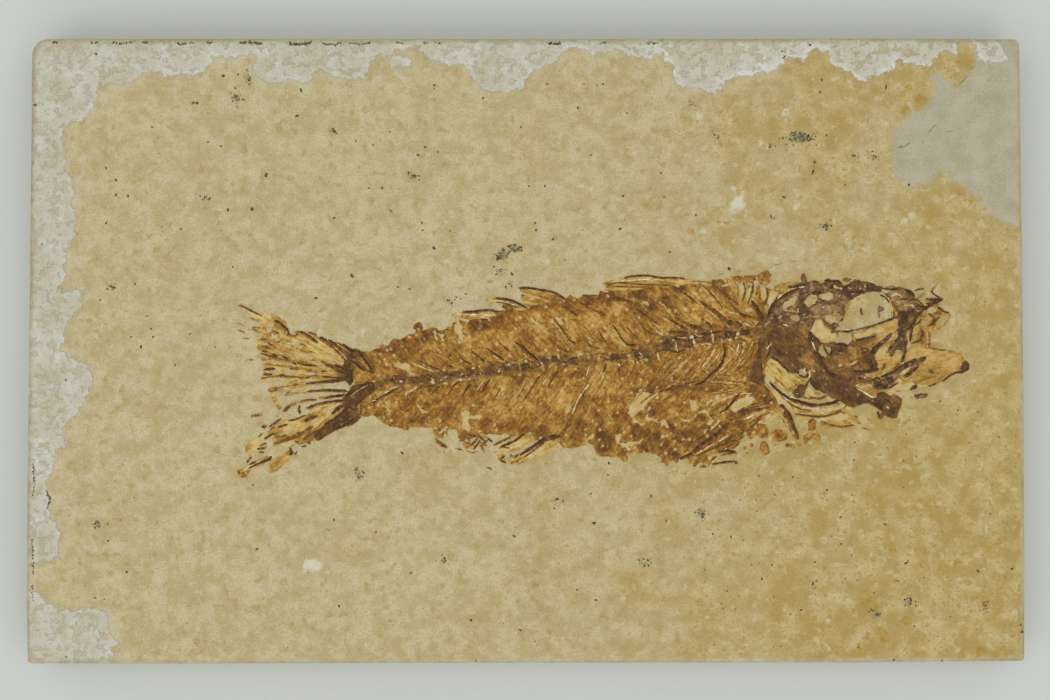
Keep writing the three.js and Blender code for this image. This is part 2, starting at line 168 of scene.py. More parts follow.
def distance(at, drawn):
    """Distance to the nearest of the drawn shapes, negative inside one but not in its holes."""
    nearest = np.full(len(at), FAR)
    for kind, sizes, points in drawn:
        reach = REACH + max(sizes)
        near = np.all((at > points.min(0) - reach) & (at < points.max(0) + reach), axis=1)
        spots = at[near]
        if not len(spots):
            continue
        if kind in ("patch", "hole"):
            gap, _ = line_distance(spots, np.vstack([points, points[:1]]))
            gap = np.where(inside(spots, points), -gap, gap)
        elif kind in ("line", "slit"):
            gap, along = line_distance(spots, smooth(points))
            gap -= (sizes[0] + (sizes[1] - sizes[0]) * along) / 2
        else:
            gap = np.min([np.hypot(*(spots - point).T) for point in points], axis=0) - sizes[0]
        if kind in ("hole", "slit"):
            nearest[near] = np.maximum(nearest[near], -gap)
        else:
            nearest[near] = np.minimum(nearest[near], gap)
    return nearest


def rough(at, size, seed):
    """A smooth random field from 0 to 1 with lumps of about this size."""
    lattice = np.random.default_rng(seed).random((LATTICE, LATTICE))
    grid = at / size + 64
    low = np.floor(grid).astype(int)
    f = grid - low
    f = f * f * (3 - 2 * f)
    rows, cols = low[:, 1] % LATTICE, low[:, 0] % LATTICE
    below, right = (rows + 1) % LATTICE, (cols + 1) % LATTICE
    upper = lattice[rows, cols] * (1 - f[:, 0]) + lattice[rows, right] * f[:, 0]
    lower = lattice[below, cols] * (1 - f[:, 0]) + lattice[below, right] * f[:, 0]
    return upper * (1 - f[:, 1]) + lower * f[:, 1]


def stray(at, amount, size, seed):
    """The places, each pushed by a smooth random step, which makes a traced shape uneven."""
    push = np.stack([rough(at, size, seed), rough(at, size, seed + 50)], axis=1) - 0.5
    return at + 2 * amount * push


# %% [markdown]
# ## Making a piece
#
# Every finished piece does the same four things: its mesh gets an object at the origin, it rides
# on the one body of this part, any CAD solids that it replaces are hidden, and it takes its finish.

# %% Finish a piece
HAIRLINE_REACH = 9.0


def finish(name, bm, material, slot, replaced=()):
    mesh = bpy.data.meshes.new(name)
    bm.to_mesh(mesh)
    bm.free()
    mesh.materials.append(material)
    piece = bpy.data.objects.new(name, mesh)
    bpy.context.scene.collection.objects.link(piece)
    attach(piece, "root")
    if replaced:
        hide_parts(*replaced)
    print(name, len(mesh.vertices), "points", len(mesh.polygons), "faces")
    return piece


def places(piece):
    """Where the points of a piece are, in steps."""
    flat = np.empty(3 * len(piece.data.vertices))
    piece.data.vertices.foreach_get("co", flat)
    points = flat.reshape(-1, 3)
    return to_steps(points[:, 0], points[:, 1])


def paint(piece, name, values):
    attribute = piece.data.attributes.new(name, "FLOAT", "POINT")
    attribute.data.foreach_set("value", np.clip(values, 0, 1).astype(np.float32))


def edge_field(at, table, soft=1.6):
    """0.5 on a shape's outline, 1 well inside it and 0 well outside."""
    return 0.5 - distance(at, shapes(table)) / (2 * soft)


def sides(at, table):
    """Passes 0.5 on a line, from one side of it to the other, so a hairline stays sharp."""
    signed = np.full(len(at), HAIRLINE_REACH)
    for _, _, points in shapes(table):
        line = smooth(points, 1.5)
        ahead = np.gradient(line, axis=0)
        low, high = line.min(0) - HAIRLINE_REACH, line.max(0) + HAIRLINE_REACH
        near = np.flatnonzero(np.all((at > low) & (at < high), axis=1))
        away = at[near, None] - line
        k = np.hypot(away[..., 0], away[..., 1]).argmin(axis=1)
        off = away[np.arange(len(k)), k]
        turn = np.sign(ahead[k, 0] * off[:, 1] - ahead[k, 1] * off[:, 0])
        gap = line_distance(at[near], line)[0]
        closer = gap < np.abs(signed[near])
        signed[near[closer]] = (turn * gap)[closer]
    return 0.5 + signed / 20


# %% [markdown]
# ## Wiring a material
#
# The finishes are built from shader nodes in code. A few short helpers keep the wiring readable:
# colours are given as the eye sees them, and sizes of a pattern in millimetres.

# %% Material helpers


def eye(red, green, blue):
    """A colour, from 0 to 255, as the linear light that a shader takes."""
    linear = [((c / 255 + 0.055) / 1.055) ** 2.4 if c > 10 else c / 3295 for c in (red, green, blue)]
    return (*linear, 1.0)


class Finish:
    """A material and short names for the nodes that this scene uses."""

    def __init__(self, name, roughness, specular=0.3):
        self.material = bpy.data.materials.new(name)
        self.material.use_nodes = True
        self.tree = self.material.node_tree
        self.shader = self.tree.nodes["Principled BSDF"]
        self.shader.inputs["Roughness"].default_value = roughness
        self.shader.inputs["Specular IOR Level"].default_value = specular
        self.place = self.node("ShaderNodeTexCoord").outputs["Object"]

    def node(self, kind, values=(), **settings):
        made = self.tree.nodes.new(kind)
        for key, value in settings.items():
            setattr(made, key, value)
        for socket, value in dict(values).items():
            self.give(made.inputs[socket], value)
        return made

    def give(self, socket, value):
        if isinstance(value, bpy.types.NodeSocket):
            self.tree.links.new(value, socket)
        else:
            socket.default_value = value

    def read(self, name, output="Fac"):
        return self.node("ShaderNodeAttribute", attribute_name=name).outputs[output]

    def noise(self, size, detail=3.0, rough=0.55, at=None, warp=0.0):
        values = {"Vector": at or self.place, "Scale": 1 / (size * MM), "Detail": detail}
        values |= {"Roughness": rough, "Distortion": warp}
        return self.node("ShaderNodeTexNoise", values).outputs["Fac"]

    def cells(self, size, feature="F1", at=None, output="Distance"):
        values = {"Vector": at or self.place, "Scale": 1 / (size * MM)}
        return self.node("ShaderNodeTexVoronoi", values, feature=feature).outputs[output]

    def turned(self, degrees, scale, at=None):
        values = {"Vector": at or self.place, "Rotation": (0, 0, math.radians(degrees))}
        return self.node("ShaderNodeMapping", values | {"Scale": scale}).outputs["Vector"]

    def bent(self, place, noise):
        """A place pushed about by a noise, which bends whatever pattern is drawn there."""
        push = self.node("ShaderNodeVectorMath", {0: noise, "Scale": 0.5 * MM}, operation="SCALE")
        values = {0: place, 1: push.outputs[0]}
        return self.node("ShaderNodeVectorMath", values, operation="ADD").outputs[0]

    def reckon(self, kind, *values):
        return self.node("ShaderNodeMath", dict(enumerate(values)), operation=kind).outputs[0]

    def plus(self, first, second):
        return self.reckon("ADD", first, second)

    def minus(self, first, second):
        return self.reckon("SUBTRACT", first, second)

    def times(self, first, second, *added):
        """The product of two values, and a third added to it where there is one."""
        return self.reckon("MULTIPLY_ADD" if added else "MULTIPLY", first, second, *added)

    def step(self, value, low, high, start=0.0, end=1.0):
        values = {"Value": value, "From Min": low, "From Max": high, "To Min": start, "To Max": end}
        node = self.node("ShaderNodeMapRange", values, interpolation_type="SMOOTHSTEP")
        return node.outputs["Result"]

    def mix(self, share, under, over):
        values = {0: share, 6: under, 7: over}
        return self.node("ShaderNodeMix", values, data_type="RGBA").outputs[2]

    def ramp(self, value, *stops):
        """Colours along a value: each stop is a place from 0 to 1 and a colour given from 0 to 255."""
        node = self.node("ShaderNodeValToRGB", {"Fac": value})
        row = node.color_ramp.elements
        row[0].position, row[1].position = stops[0][0], stops[-1][0]
        row[0].color, row[1].color = eye(*stops[0][1:]), eye(*stops[-1][1:])
        for place, *colour in stops[1:-1]:
            row.new(place).color = eye(*colour)
        return node.outputs["Color"]

    def nudge(self, value, *pushes):
        """The value, pushed up and down by each noise, so that what it draws has a ragged edge."""
        for noise, amount in zip(pushes[::2], pushes[1::2]):
            value = self.plus(value, self.times(noise, amount, -amount / 2))
        return value

    def bump(self, height, depth):
        values = {"Height": height, "Distance": depth * MM, "Strength": 1.0}
        return self.node("ShaderNodeBump", values).outputs["Normal"]

    def done(self, colour, normal=None):
        self.give(self.shader.inputs["Base Color"], colour)
        if normal:
            self.give(self.shader.inputs["Normal"], normal)
        return self.material


# %% [markdown]
# ## The stone
#
# The split face is a mottle of buff and cream, more orange towards the fish's head. Along the top
# and the left edge the skin of the stone has flaked and left a chalky white crust, and one corner
# is a smooth grey layer a little lower. Where each of these lies is painted on the mesh as a soft
# field, and the material turns the field into a ragged edge with noise.

# %% The finish of the stone


def stone_finish():
    f = Finish("limestone", 0.85, 0.2)
    # The ground: buff, warmer towards the head, with pale and ochre nodules.
    broad = f.noise(9.0, 2, 0.5)
    patchy = f.noise(2.2, 4, 0.6)
    grain = f.noise(0.55, 3, 0.6)
    warmth = f.nudge(f.read("warm"), broad, 0.8)
    grit = f.noise(0.26, 3, 0.65)
    buff = f.mix(f.step(patchy, 0.36, 0.68), eye(180, 165, 120), eye(196, 183, 146))
    warm = f.mix(f.step(patchy, 0.34, 0.70), eye(166, 141, 78), eye(192, 175, 123))
    colour = f.mix(f.step(warmth, 0.25, 0.85), buff, warm)
    nodule = f.noise(1.3, 3, 0.5)
    colour = f.mix(f.step(nodule, 0.57, 0.70, 0, 0.6), colour, eye(200, 189, 152))
    colour = f.mix(f.step(nodule, 0.43, 0.30, 0, 0.6), colour, eye(166, 142, 88))
    # Rusty spots where the ground is warm, and the traced stains.
    rusty = f.noise(1.1, 3, 0.6)
    spots = f.times(f.step(rusty, 0.52, 0.68, 0, 0.9), f.step(f.nudge(warmth, patchy, 0.8), 0.4, 0.85))
    colour = f.mix(spots, colour, eye(163, 135, 66))
    stain = f.nudge(f.read("stain"), f.noise(1.8, 3, 0.6), 0.9, grain, 0.5)
    ochre = f.mix(f.step(rusty, 0.4, 0.6), eye(174, 146, 70), eye(158, 126, 56))
    colour = f.mix(f.step(stain, 0.42, 0.72, 0, 0.85), colour, ochre)
    # Fine grit over all of it, and the smooth grey corner, which has none.
    grey = f.step(f.nudge(f.read("grey"), f.noise(3.4, 4, 0.6), 1.2, grain, 0.3), 0.32, 0.7)
    dusty = f.times(f.noise(0.22, 2), 0.55, f.times(f.noise(3.0, 4), 0.45))
    smooth_stone = f.mix(f.step(dusty, 0.36, 0.64), eye(161, 154, 128), eye(179, 173, 149))
    colour = f.mix(f.step(grit, 0.42, 0.66, 0, 0.42), colour, eye(152, 132, 84))
    colour = f.mix(f.step(grit, 0.40, 0.24, 0, 0.55), colour, eye(208, 198, 166))
    colour = f.mix(grey, colour, smooth_stone)
    # The chalky crust: dust thins out beyond it, and the stone is worn through in it.
    clump = f.noise(1.2, 4, 0.6)
    chalk = f.nudge(f.read("crust"), f.noise(4.0, 4, 0.6), 0.9, clump, 0.8, grain, 0.35)
    dusted = f.step(f.nudge(f.read("dust"), patchy, 0.9), 0.25, 0.85, 0, 0.42)
    colour = f.mix(f.times(dusted, f.step(warmth, 0.75, 0.3)), colour, eye(190, 183, 158))
    chalky = f.step(chalk, 0.43, 0.60)
    worn_through = f.times(f.step(f.noise(1.7, 5, 0.7), 0.51, 0.61, 0, 0.7), f.step(chalk, 0.55, 0.85))
    chalky = f.minus(chalky, worn_through)
    cake = f.times(f.noise(3.4, 5, 0.65, warp=0.4), 0.55, f.times(clump, 0.25))
    cake = f.times(grit, 0.34, f.plus(cake, -0.07))
    border = f.times(f.step(chalk, 0.95, 0.55, 0, 0.11), f.step(warmth, 0.2, 0.6, 0.35, 1))
    cake = f.plus(cake, border)
    white = [(0.36, 175, 164, 131), (0.45, 184, 179, 158), (0.55, 191, 189, 173), (0.67, 209, 209, 201)]
    colour = f.mix(chalky, colour, f.ramp(cake, *white))
    # White flecks, dark smears round the specks, and the worn rim and walls with flat layers.
    fleck = f.step(f.nudge(f.read("fleck"), f.noise(0.7, 4, 0.6), 1.3), 0.35, 1.05, 0, 0.8)
    colour = f.mix(fleck, colour, eye(206, 203, 182))
    smear = f.step(f.nudge(f.read("smear"), f.noise(0.6, 4, 0.65), 1.4), 0.3, 0.75, 0, 0.8)
    colour = f.mix(smear, colour, f.mix(f.step(grain, 0.4, 0.6), eye(102, 97, 70), eye(146, 139, 108)))
    worn = f.step(f.nudge(f.read("rim"), f.noise(2.5, 4), 0.9, grain, 0.4), 0.2, 0.75, 0, 0.8)
    layers = f.noise(0.8, 4, 0.65, at=f.turned(0, (0.07, 0.07, 1)))
    layers = f.times(layers, 0.55, f.times(clump, 0.45))
    worn_stone = f.mix(f.step(layers, 0.34, 0.66), eye(162, 147, 107), eye(193, 184, 155))
    colour = f.mix(worn, colour, worn_stone)
    # Hairline cracks and small pores.
    side = f.nudge(f.read("side"), grain, 0.05)
    seam = f.step(f.reckon("ABSOLUTE", f.plus(side, -0.5)), 0.05, 0.015)
    seam = f.times(seam, f.step(f.nudge(f.read("crack"), patchy, 0.5), 0.4, 0.75, 0, 0.8))
    colour = f.mix(seam, colour, eye(110, 96, 62))
    pores = f.cells(1.15)
    pits = f.step(pores, 0.085, 0.04, 0, 0.55)
    pits = f.times(pits, f.step(f.noise(4.0, 1), 0.52, 0.62))
    colour = f.mix(pits, colour, eye(112, 98, 62))
    # What the light catches: grain and grit, less the pits and seams, and a lumpy crust.
    height = f.times(grain, 0.7, f.times(patchy, 0.8))
    height = f.times(grit, 0.22, height)
    height = f.minus(height, f.times(pits, 0.8))
    height = f.minus(height, seam)
    lumpy = f.times(clump, 1.3, f.times(cake, 1.2))
    height = f.plus(height, f.times(chalky, lumpy))
    return f.done(colour, f.bump(height, 0.10))


stone = stone_finish()

# %% [markdown]
# The slab's outline is not a true rectangle: its sides lean a little and its corners are worn to
# different radii. A flat grid from one bmesh operator is stretched over that outline, with its
# lines drawn closer together near the rim, where the edge rolls over.

# %% The slab's outline
CORNERS = trace("31,37.9 1020.3,38.6 1025.6,661.8 26.5,664.2".split())
CORNER_RADII = [20, 7, 5, 5]
SIDES = [
    trace("200,38.2 560,38.4 860,37.8".split()),
    trace("1022.2,180 1024.8,400 1025.6,560".split()),
    trace("840,663.3 500,663.4 180,664.4".split()),
    trace("25.6,600 26.3,480 28.4,300 30,160".split()),
]


def corner_arc(i):
    """Nine points round a worn corner, from the side before it to the side after it."""
    before, after = SIDES[i - 1][-1] - CORNERS[i], SIDES[i][0] - CORNERS[i]
    start = CORNERS[i] + before / np.hypot(*before) * CORNER_RADII[i]
    end = CORNERS[i] + after / np.hypot(*after) * CORNER_RADII[i]
    t = np.linspace(0, 1, 9)[:, None]
    return (1 - t) ** 2 * start + 2 * t * (1 - t) * CORNERS[i] + t**2 * end


def slab_side(i):
    """One side of the outline, from the middle of one corner to the middle of the next."""
    here, there = corner_arc(i), corner_arc((i + 1) % 4)
    return np.vstack([here[4:], SIDES[i], there[:5]])


def rim_distance(at):
    return line_distance(at, np.vstack([outline, outline[:1]]))[0]


outline = np.vstack([slab_side(i)[:-1] for i in range(4)])
print("outline spans", outline.min(0), "to", outline.max(0), "steps")

# %% [markdown]
# The crust, the grey corner, the hairline cracks, the white flecks and the ochre stains are each a
# table of traced shapes. Only the first three are felt under a finger, so only they move points.

# %% What lies on the stone
CRUST_SUNK, GREY_SUNK, CRACK_SUNK = 0.13, 0.16, 0.08
CRUST = """
patch 0,0 960,0 960,44 957,54 943,54 928,67 914,65 899,60 894,71 874,76 861,85 852,78 834,67 827,51 812,49 \
803,59 789,58 778,69 760,76 736,78 722,83 713,92 700,89 680,87 669,65 662,54 638,58 618,51 591,55 575,47 \
567,49 551,67 533,71 520,91 506,89 484,89 475,80 466,65 448,65 428,58 419,48 404,51 379,54 372,58 363,78 \
350,83 328,74 315,71 310,83 290,80 272,86 254,74 257,54 239,58 214,56 201,74 170,74 143,71 125,85 100,83 \
98,98 87,114 64,126 61,147 65,165 74,181 73,201 77,223 71,240 64,271 62,289 83,293 76,311 67,322 62,340 \
60,351 69,358 89,362 93,380 89,398 78,409 65,423 65,443 56,456 50,478 46,490 52,514 60,531 56,558 38,562 \
20,566 0,566
patch 0,596 33,591 60,609 96,609 109,611 110,631 117,642 112,658 112,680 0,680
patch 974,40 977,58 985,62 990,65 1000,63 1008,58 1004,46 1000,36 974,34
patch 385,60 395,54 412,58 410,68 392,69
"""
GREY = """
patch 976,20 976,56 968,72 959,84 946,80 934,74 932,100 923,110 908,114 892,138 890,152 896,170 901,181 \
923,185 946,176 963,185 979,201 990,219 1021,230 1050,236 1050,20
"""
CRACKS = """
line 2.4 896,148 905,146 912,142 923,143
line 1.8 923,143 925,138 930,131 935,125 943,130 952,131 961,128
line 2 976,62 970,72 964,80 957,86
line 1.6 940,62 948,72 953,82
line 1.8 716,275 740,271 752,268 768,269 775,265 805,260 822,261
line 1.4 300,345 312,350 322,352 330,349; 932,176 940,172 950,172 960,178 966,186
"""
FLECKS = """
dots 9 312,564
dots 8 738,203
dots 4 731,211 745,193 797,207 735,188 304,569
line 5>2 938,486 943,491 949,495
line 4>2 985,521 988,538
line 5>3 773,535 777,541 782,548
line 3>2 320,310 319,322 321,335
line 2>4 948,585 955,582 962,580
line 4 354,440 362,437 371,441
line 3>4 320,318 321,326 319,334
line 5>3 848,240 853,246 850,250
dots 4 785,113 700,115 703,233 760,142 905,222 912,216
dots 3 350,262 362,330 446,262 548,264 829,651 827,621 709,617 362,335 468,460 582,186 590,190
"""
STAINS = """
dots 7 921,100 868,602 872,608 880,632 885,638 982,651
dots 5 909,88 906,110 980,631 974,598 986,602 958,563 893,548 905,620 866,640 960,190
dots 3.5 536,585 550,632 490,282 903,95 645,205 692,231 722,243 783,470 812,497 842,500 748,521 905,575
dots 3 770,240 805,180 838,212 861,245 895,260 930,250 700,600 742,640 810,640 836,560 905,500 1000,540
dots 2.5 455,560 610,610 668,560 150,620 205,640 262,632 330,640 390,620 560,640 620,520 690,540 940,480
"""
WIDE_STAINS = """
dots 20 905,100 890,610 985,640 930,560 640,540 840,560 960,330 150,540 110,500 880,470 760,250
"""


def stone_height(at):
    """How far the face lies above or below its mean, in metres."""
    crust = np.clip(edge_field(at, CRUST, 3.0), 0, 1) * (0.4 + 0.6 * rough(at, 9, 1))
    grey = np.clip(edge_field(at, GREY, 2.5), 0, 1)
    crack = np.clip(edge_field(at, CRACKS, 2.0), 0, 1)
    lumps = (rough(at, 26, 2) - 0.5) * 0.05 + (rough(at, 7, 3) - 0.5) * 0.03
    return (lumps - CRUST_SUNK * crust - GREY_SUNK * grey - CRACK_SUNK * crack) * MM


# %% [markdown]
# The face is rubbed round at its rim over about a millimetre. The grid lines lie a few steps apart
# in the middle and much closer at the rim, so the rounding has points of its own, and a place
# between the four sides is blended from the sides, which keeps every cell even.

# %% Stretch a grid over the outline
ROUND = 1.05 * MM
RIM = np.array([0, 0.5, 1.2, 2.2, 3.4, 4.8, 6.5, 8.5, 11.0])


def stations(length, count):
    """Places along a side from 0 to 1, closer together near both ends."""
    middle = np.linspace(RIM[-1], length - RIM[-1], count - 2 * (len(RIM) - 1) + 1)
    return np.concatenate([RIM[:-1], middle, length - RIM[-2::-1]]) / length


def along(line, shares):
    """Points at these shares of a line's length."""
    runs = np.concatenate([[0], np.cumsum(np.hypot(*np.diff(line, axis=0).T))])
    return np.stack([np.interp(shares * runs[-1], runs, line[:, k]) for k in (0, 1)], axis=1)


LONG, WIDE = 995, 625
COLUMNS, ROWS = 326, 206
s = stations(LONG, COLUMNS)
t = stations(WIDE, ROWS)
top, right = along(slab_side(0), s), along(slab_side(1), t)
bottom, left = along(slab_side(2)[::-1], s), along(slab_side(3)[::-1], t)


def stretched(i, j):
    """The place of grid point i, j between the four sides."""
    a, b = s[i][:, None], t[j][:, None]
    across = (1 - a) * left[j] + a * right[j]
    down = (1 - b) * top[i] + b * bottom[i]
    upper = (1 - a) * top[0] + a * top[-1]
    lower = (1 - a) * bottom[0] + a * bottom[-1]
    return across + down - (1 - b) * upper - b * lower


def make_slab():
    bm = bmesh.new()
    bmesh.ops.create_grid(bm, x_segments=COLUMNS, y_segments=ROWS, size=0.5)
    flat = np.array([v.co[:2] for v in bm.verts])
    i = np.rint((flat[:, 0] + 0.5) * COLUMNS).astype(int)
    j = np.rint((0.5 - flat[:, 1]) * ROWS).astype(int)
    at = stretched(i, j)
    margin = np.minimum.reduce([i, COLUMNS - i, j, ROWS - j]) < len(RIM) + 6
    depth = np.full(len(at), FAR)
    depth[margin] = rim_distance(at[margin])
    rim = np.clip(1 - depth * STEP / ROUND, 0, 1)
    heights = FACE + stone_height(at) * (1 - rim) - ROUND * (1 - np.sqrt(1 - rim**2))
    xy = to_stone(at)
    for vert, (x, y), z in zip(bm.verts, xy, heights):
        vert.co = (x, y, z)
    return bm


slab_bm = make_slab()
print("slab grid", len(slab_bm.verts), "points")

# %% [markdown]
# The walls are the saw cut, rubbed dull. The open rim of the grid is extruded downwards a few
# times, each ring is pushed in a little here and there so that the wall isn't dead flat, and the
# last ring, drawn in for the lower edge, is closed with one face to lie on. The photo shows no
# wall, so the faint flat layers that the finish draws there are a guess.

# %% Walls and underside


WALL_RINGS = 10
RIM_SHOWS = 9


def wall_push(points, z):
    """How far the wall stands out at a place, in metres."""
    around = np.stack([points[:, 0] + 0.7 * points[:, 1], np.full(len(points), z / STEP)], axis=1)
    return ((rough(around, 30, 5) - 0.5) * 0.10 + (rough(around, 8, 6) - 0.5) * 0.06) * MM


def add_walls(bm):
    turn = np.linspace(0, np.pi / 2, 4)[1:]
    lower = [(ROUND * (1 - np.cos(a)), ROUND * (1 - np.sin(a))) for a in turn]
    rings = [(0, z) for z in np.linspace(FACE - ROUND, ROUND, WALL_RINGS + 1)[1:]] + lower
    edges = [edge for edge in bm.edges if edge.is_boundary]
    first = {v: np.array(v.co[:2]) for edge in edges for v in edge.verts}
    reach = np.max([np.abs(xy) for xy in first.values()], axis=0)
    for inset, z in rings:
        made = bmesh.ops.extrude_edge_only(bm, edges=edges)["geom"]
        edges = [g for g in made if isinstance(g, bmesh.types.BMEdge)]
        fresh = [g for g in made if isinstance(g, bmesh.types.BMVert)]
        above = {}
        for vert in fresh:
            linked = [edge.other_vert(vert) for edge in vert.link_edges]
            above[vert] = first[next(v for v in linked if v in first)]
        xy = np.array(list(above.values()))
        push = np.minimum(wall_push(to_steps(xy[:, 0], xy[:, 1]), z), 0.0)
        spread = 1 + (push - inset)[:, None] / reach
        for vert, (x, y) in zip(above, xy * spread):
            vert.co = (x, y, z)
        first = above
    bmesh.ops.holes_fill(bm, edges=edges, sides=0)
    bmesh.ops.recalc_face_normals(bm, faces=bm.faces)
    for face in bm.faces:
        face.smooth = len(face.verts) < 5


add_walls(slab_bm)
slab = finish("slab_stone", slab_bm, stone, "slab", ["slab"])
at = places(slab)
paint(slab, "warm", np.clip((at[:, 0] - 180) / 1100 + 0.12 * (at[:, 1] > 400), 0, 1))
paint(slab, "crust", edge_field(at, CRUST, 7.0) * 0.7 + 0.15)
paint(slab, "dust", edge_field(at, CRUST, 40.0) * 0.8 + 0.1)
paint(slab, "grey", edge_field(at, GREY, 14.0))
wide = np.clip(edge_field(at, WIDE_STAINS, 24.0), 0, 1) * 0.5
paint(slab, "stain", np.maximum(np.clip(edge_field(at, STAINS, 6.0), 0, 1), wide))
uneven = stray(stray(at, 2.5, 9, 84), 1.2, 3.5, 85)
paint(slab, "fleck", edge_field(uneven, FLECKS, 3.0))
paint(slab, "crack", edge_field(at, CRACKS, 2.5))
paint(slab, "side", sides(at, CRACKS))
paint(slab, "rim", 1 - rim_distance(at) / RIM_SHOWS)

# %% [markdown]
# ## Mineral specks
#
# Fine black mineral has grown here and there in the stone, as single grains and in loose clusters.
# Each grain is a small flattened ball with an uneven outline, set into the face so that only its
# back shows. The larger ones are traced and the dust between them is scattered by a fixed draw.
# They are one joined piece, because nobody would ever lift out one grain. Round each cluster the
# stone is smeared grey, which is colour alone, so it is a field on the stone.

# %% Set the specks into the face
SPECKS = """
dots 1.8 193,103 301,90 266,175 545,186 209,199 252,209 535,223 620,229 784,197 813,172 886,87 116,195
dots 1.3 297,116 152,127 208,142 116,180 128,196 106,168 228,210 334,218 106,223 181,229 96,54 35,105
dots 1.2 483,98 547,84 584,84 603,84 578,108 627,113 521,127 390,132 373,145 356,141 425,147 438,152
dots 1.3 418,155 369,188 382,188 591,155 529,186 661,173 664,197 696,215 623,196 391,211 422,223
dots 1.2 423,230 450,231 536,230 822,80 820,92 771,216 845,185 909,185 810,45 565,260 409,289 398,287
dots 1.2 466,294 402,453 553,239 670,252 42,244 135,284 100,300 147,316 151,329 153,337 131,337 141,347
dots 1.2 190,334 215,347 233,267 315,298 175,365 66,380 609,463 608,475 108,541 98,523 257,549 334,520
dots 1.4 253,485 127,572 95,598 339,606 66,657 376,532 411,573 471,620 520,630 514,536 591,494 651,496
dots 1.2 666,521 577,590 596,600 476,661 827,490 852,495 841,517 713,534 731,537 885,524 841,544 772,565
dots 1.3 815,562 906,563 898,581 762,579 801,610 727,591 978,571 1012,569 1021,625 1022,632 942,661
dots 1.2 894,660 854,460 759,476 793,477 940,401 958,410 978,412 221,146 594,524 355,470 703,513
dots 1.4 316,298 352,276 410,289 696,215 402,453
dots 1.9 434,248 729,269 594,523 512,274 498,258 808,136 197,103 223,76 1022,632
"""
CLUSTERS = [
    (800, 138, 18, 7, 60), (770, 145, 4, 2, 6), (874, 157, 5, 4, 9), (825, 226, 7, 5, 16),
    (503, 255, 8, 8, 26), (516, 248, 10, 5, 24), (500, 272, 7, 4, 14), (509, 284, 4, 5, 7),
    (236, 98, 6, 8, 16),
    (333, 132, 3, 6, 9), (435, 86, 3, 3, 6), (112, 287, 7, 4, 12), (359, 476, 6, 8, 14),
    (444, 561, 4, 4, 8), (701, 513, 7, 6, 18), (643, 563, 7, 6, 12), (815, 583, 5, 3, 7),
    (908, 602, 7, 5, 14), (877, 614, 6, 8, 10), (785, 56, 3, 3, 5), (413, 176, 8, 5, 14),
    (449, 302, 8, 6, 8), (557, 500, 12, 10, 7), (300, 345, 10, 3, 4), (246, 76, 5, 12, 8),
    (206, 197, 6, 6, 8), (560, 310, 4, 3, 4), (985, 607, 6, 7, 8), (98, 525, 8, 6, 8),
    (717, 137, 4, 4, 5), (773, 218, 4, 4, 4), (690, 103, 8, 3, 6), (815, 165, 3, 8, 6), (855, 156, 5, 4, 4),
]
DUSTINGS = [((40, 50), (1015, 655), 0.65, 260), ((700, 430), (1018, 655), 0.9, 120)]
GRAIN_STANDS = 0.03 * MM
EDGE_DASHES = """
line 1.8 53,43 57,42.5; 91,43 98,42.5; 112,43 116,43; 120,43.5 126,42.5 132,43; 142,42.5 148,43
line 2.2 178,43 182,44.5 186,43.5
line 1.6 190,42.5 193,43; 208,42.5 212,43
line 2.4 240,43 248,42 262,44
line 2.6 290,43.5 300,44 310,43
line 2 323,43.5 331,44.5 340,43
line 1.8 350,43 360,44 370,43
line 1.6 397,42.5 402,43; 424,43 428,43; 435,43 440,43
line 2 549,43 555,43.5 560,43
line 1.5 601,43 606,43
line 1.8 648,43 657,43
line 1.6 33,466 34,480 33,495; 32,540 33,560 33,574
line 1.4 32,585 33,600
line 2.6 47,492 50,500 48,508
"""


def speck_finish():
    f = Finish("dark_mineral", 0.6, 0.1)
    tint = f.mix(f.step(f.noise(6.0, 2), 0.4, 0.6), eye(66, 54, 30), eye(88, 80, 56))
    return f.done(f.mix(f.step(f.noise(0.3, 2), 0.4, 0.65, 0, 0.6), tint, eye(124, 112, 78)))


def add_grain(place, radius, ground, draw):
    """One grain as a small mesh of its own."""
    bm = bmesh.new()
    made = bmesh.ops.create_uvsphere(bm, u_segments=7, v_segments=4, radius=1.0)["verts"]
    x, y = to_stone(place)
    turn = draw.uniform(0, math.pi)
    cos, sin = math.cos(turn), math.sin(turn)
    long, short = draw.uniform(1.0, 1.5), draw.uniform(0.6, 0.95)
    for vert in made:
        a, b, c = vert.co
        lumpy = radius * STEP * draw.uniform(0.8, 1.2)
        a, b = a * long * lumpy, b * short * lumpy
        vert.co = (x + a * cos - b * sin, y + a * sin + b * cos, ground + c * GRAIN_STANDS)
    return bm


def make_specks():
    draw = np.random.default_rng(11)
    grains = []
    for _, sizes, points in shapes(SPECKS):
        grains += [(point, sizes[0] * draw.uniform(0.8, 1.2)) for point in points]
    for u, v, wide, high, count in CLUSTERS:
        grains += [(draw.normal((u, v), (wide / 2, high / 2)), draw.uniform(0.4, 1.3)) for _ in range(count)]
    for _, sizes, points in shapes(EDGE_DASHES):
        for point in smooth(points, 1.6):
            grains.append((point + draw.normal(0, 0.4, 2), sizes[0] * draw.uniform(0.35, 0.7)))
    for low, high, largest, count in DUSTINGS:
        grains += [(draw.uniform(low, high), draw.uniform(0.3, largest)) for _ in range(count)]
    grounds = FACE + stone_height(np.array([place for place, _ in grains]))
    bm, carrier = bmesh.new(), bpy.data.meshes.new("carrier")
    for (place, radius), ground in zip(grains, grounds):
        grain = add_grain(place, radius, ground, draw)
        grain.to_mesh(carrier)
        grain.free()
        bm.from_mesh(carrier)
    bpy.data.meshes.remove(carrier)
    for face in bm.faces:
        face.smooth = True
    return finish("mineral_specks", bm, speck_finish(), "slab")


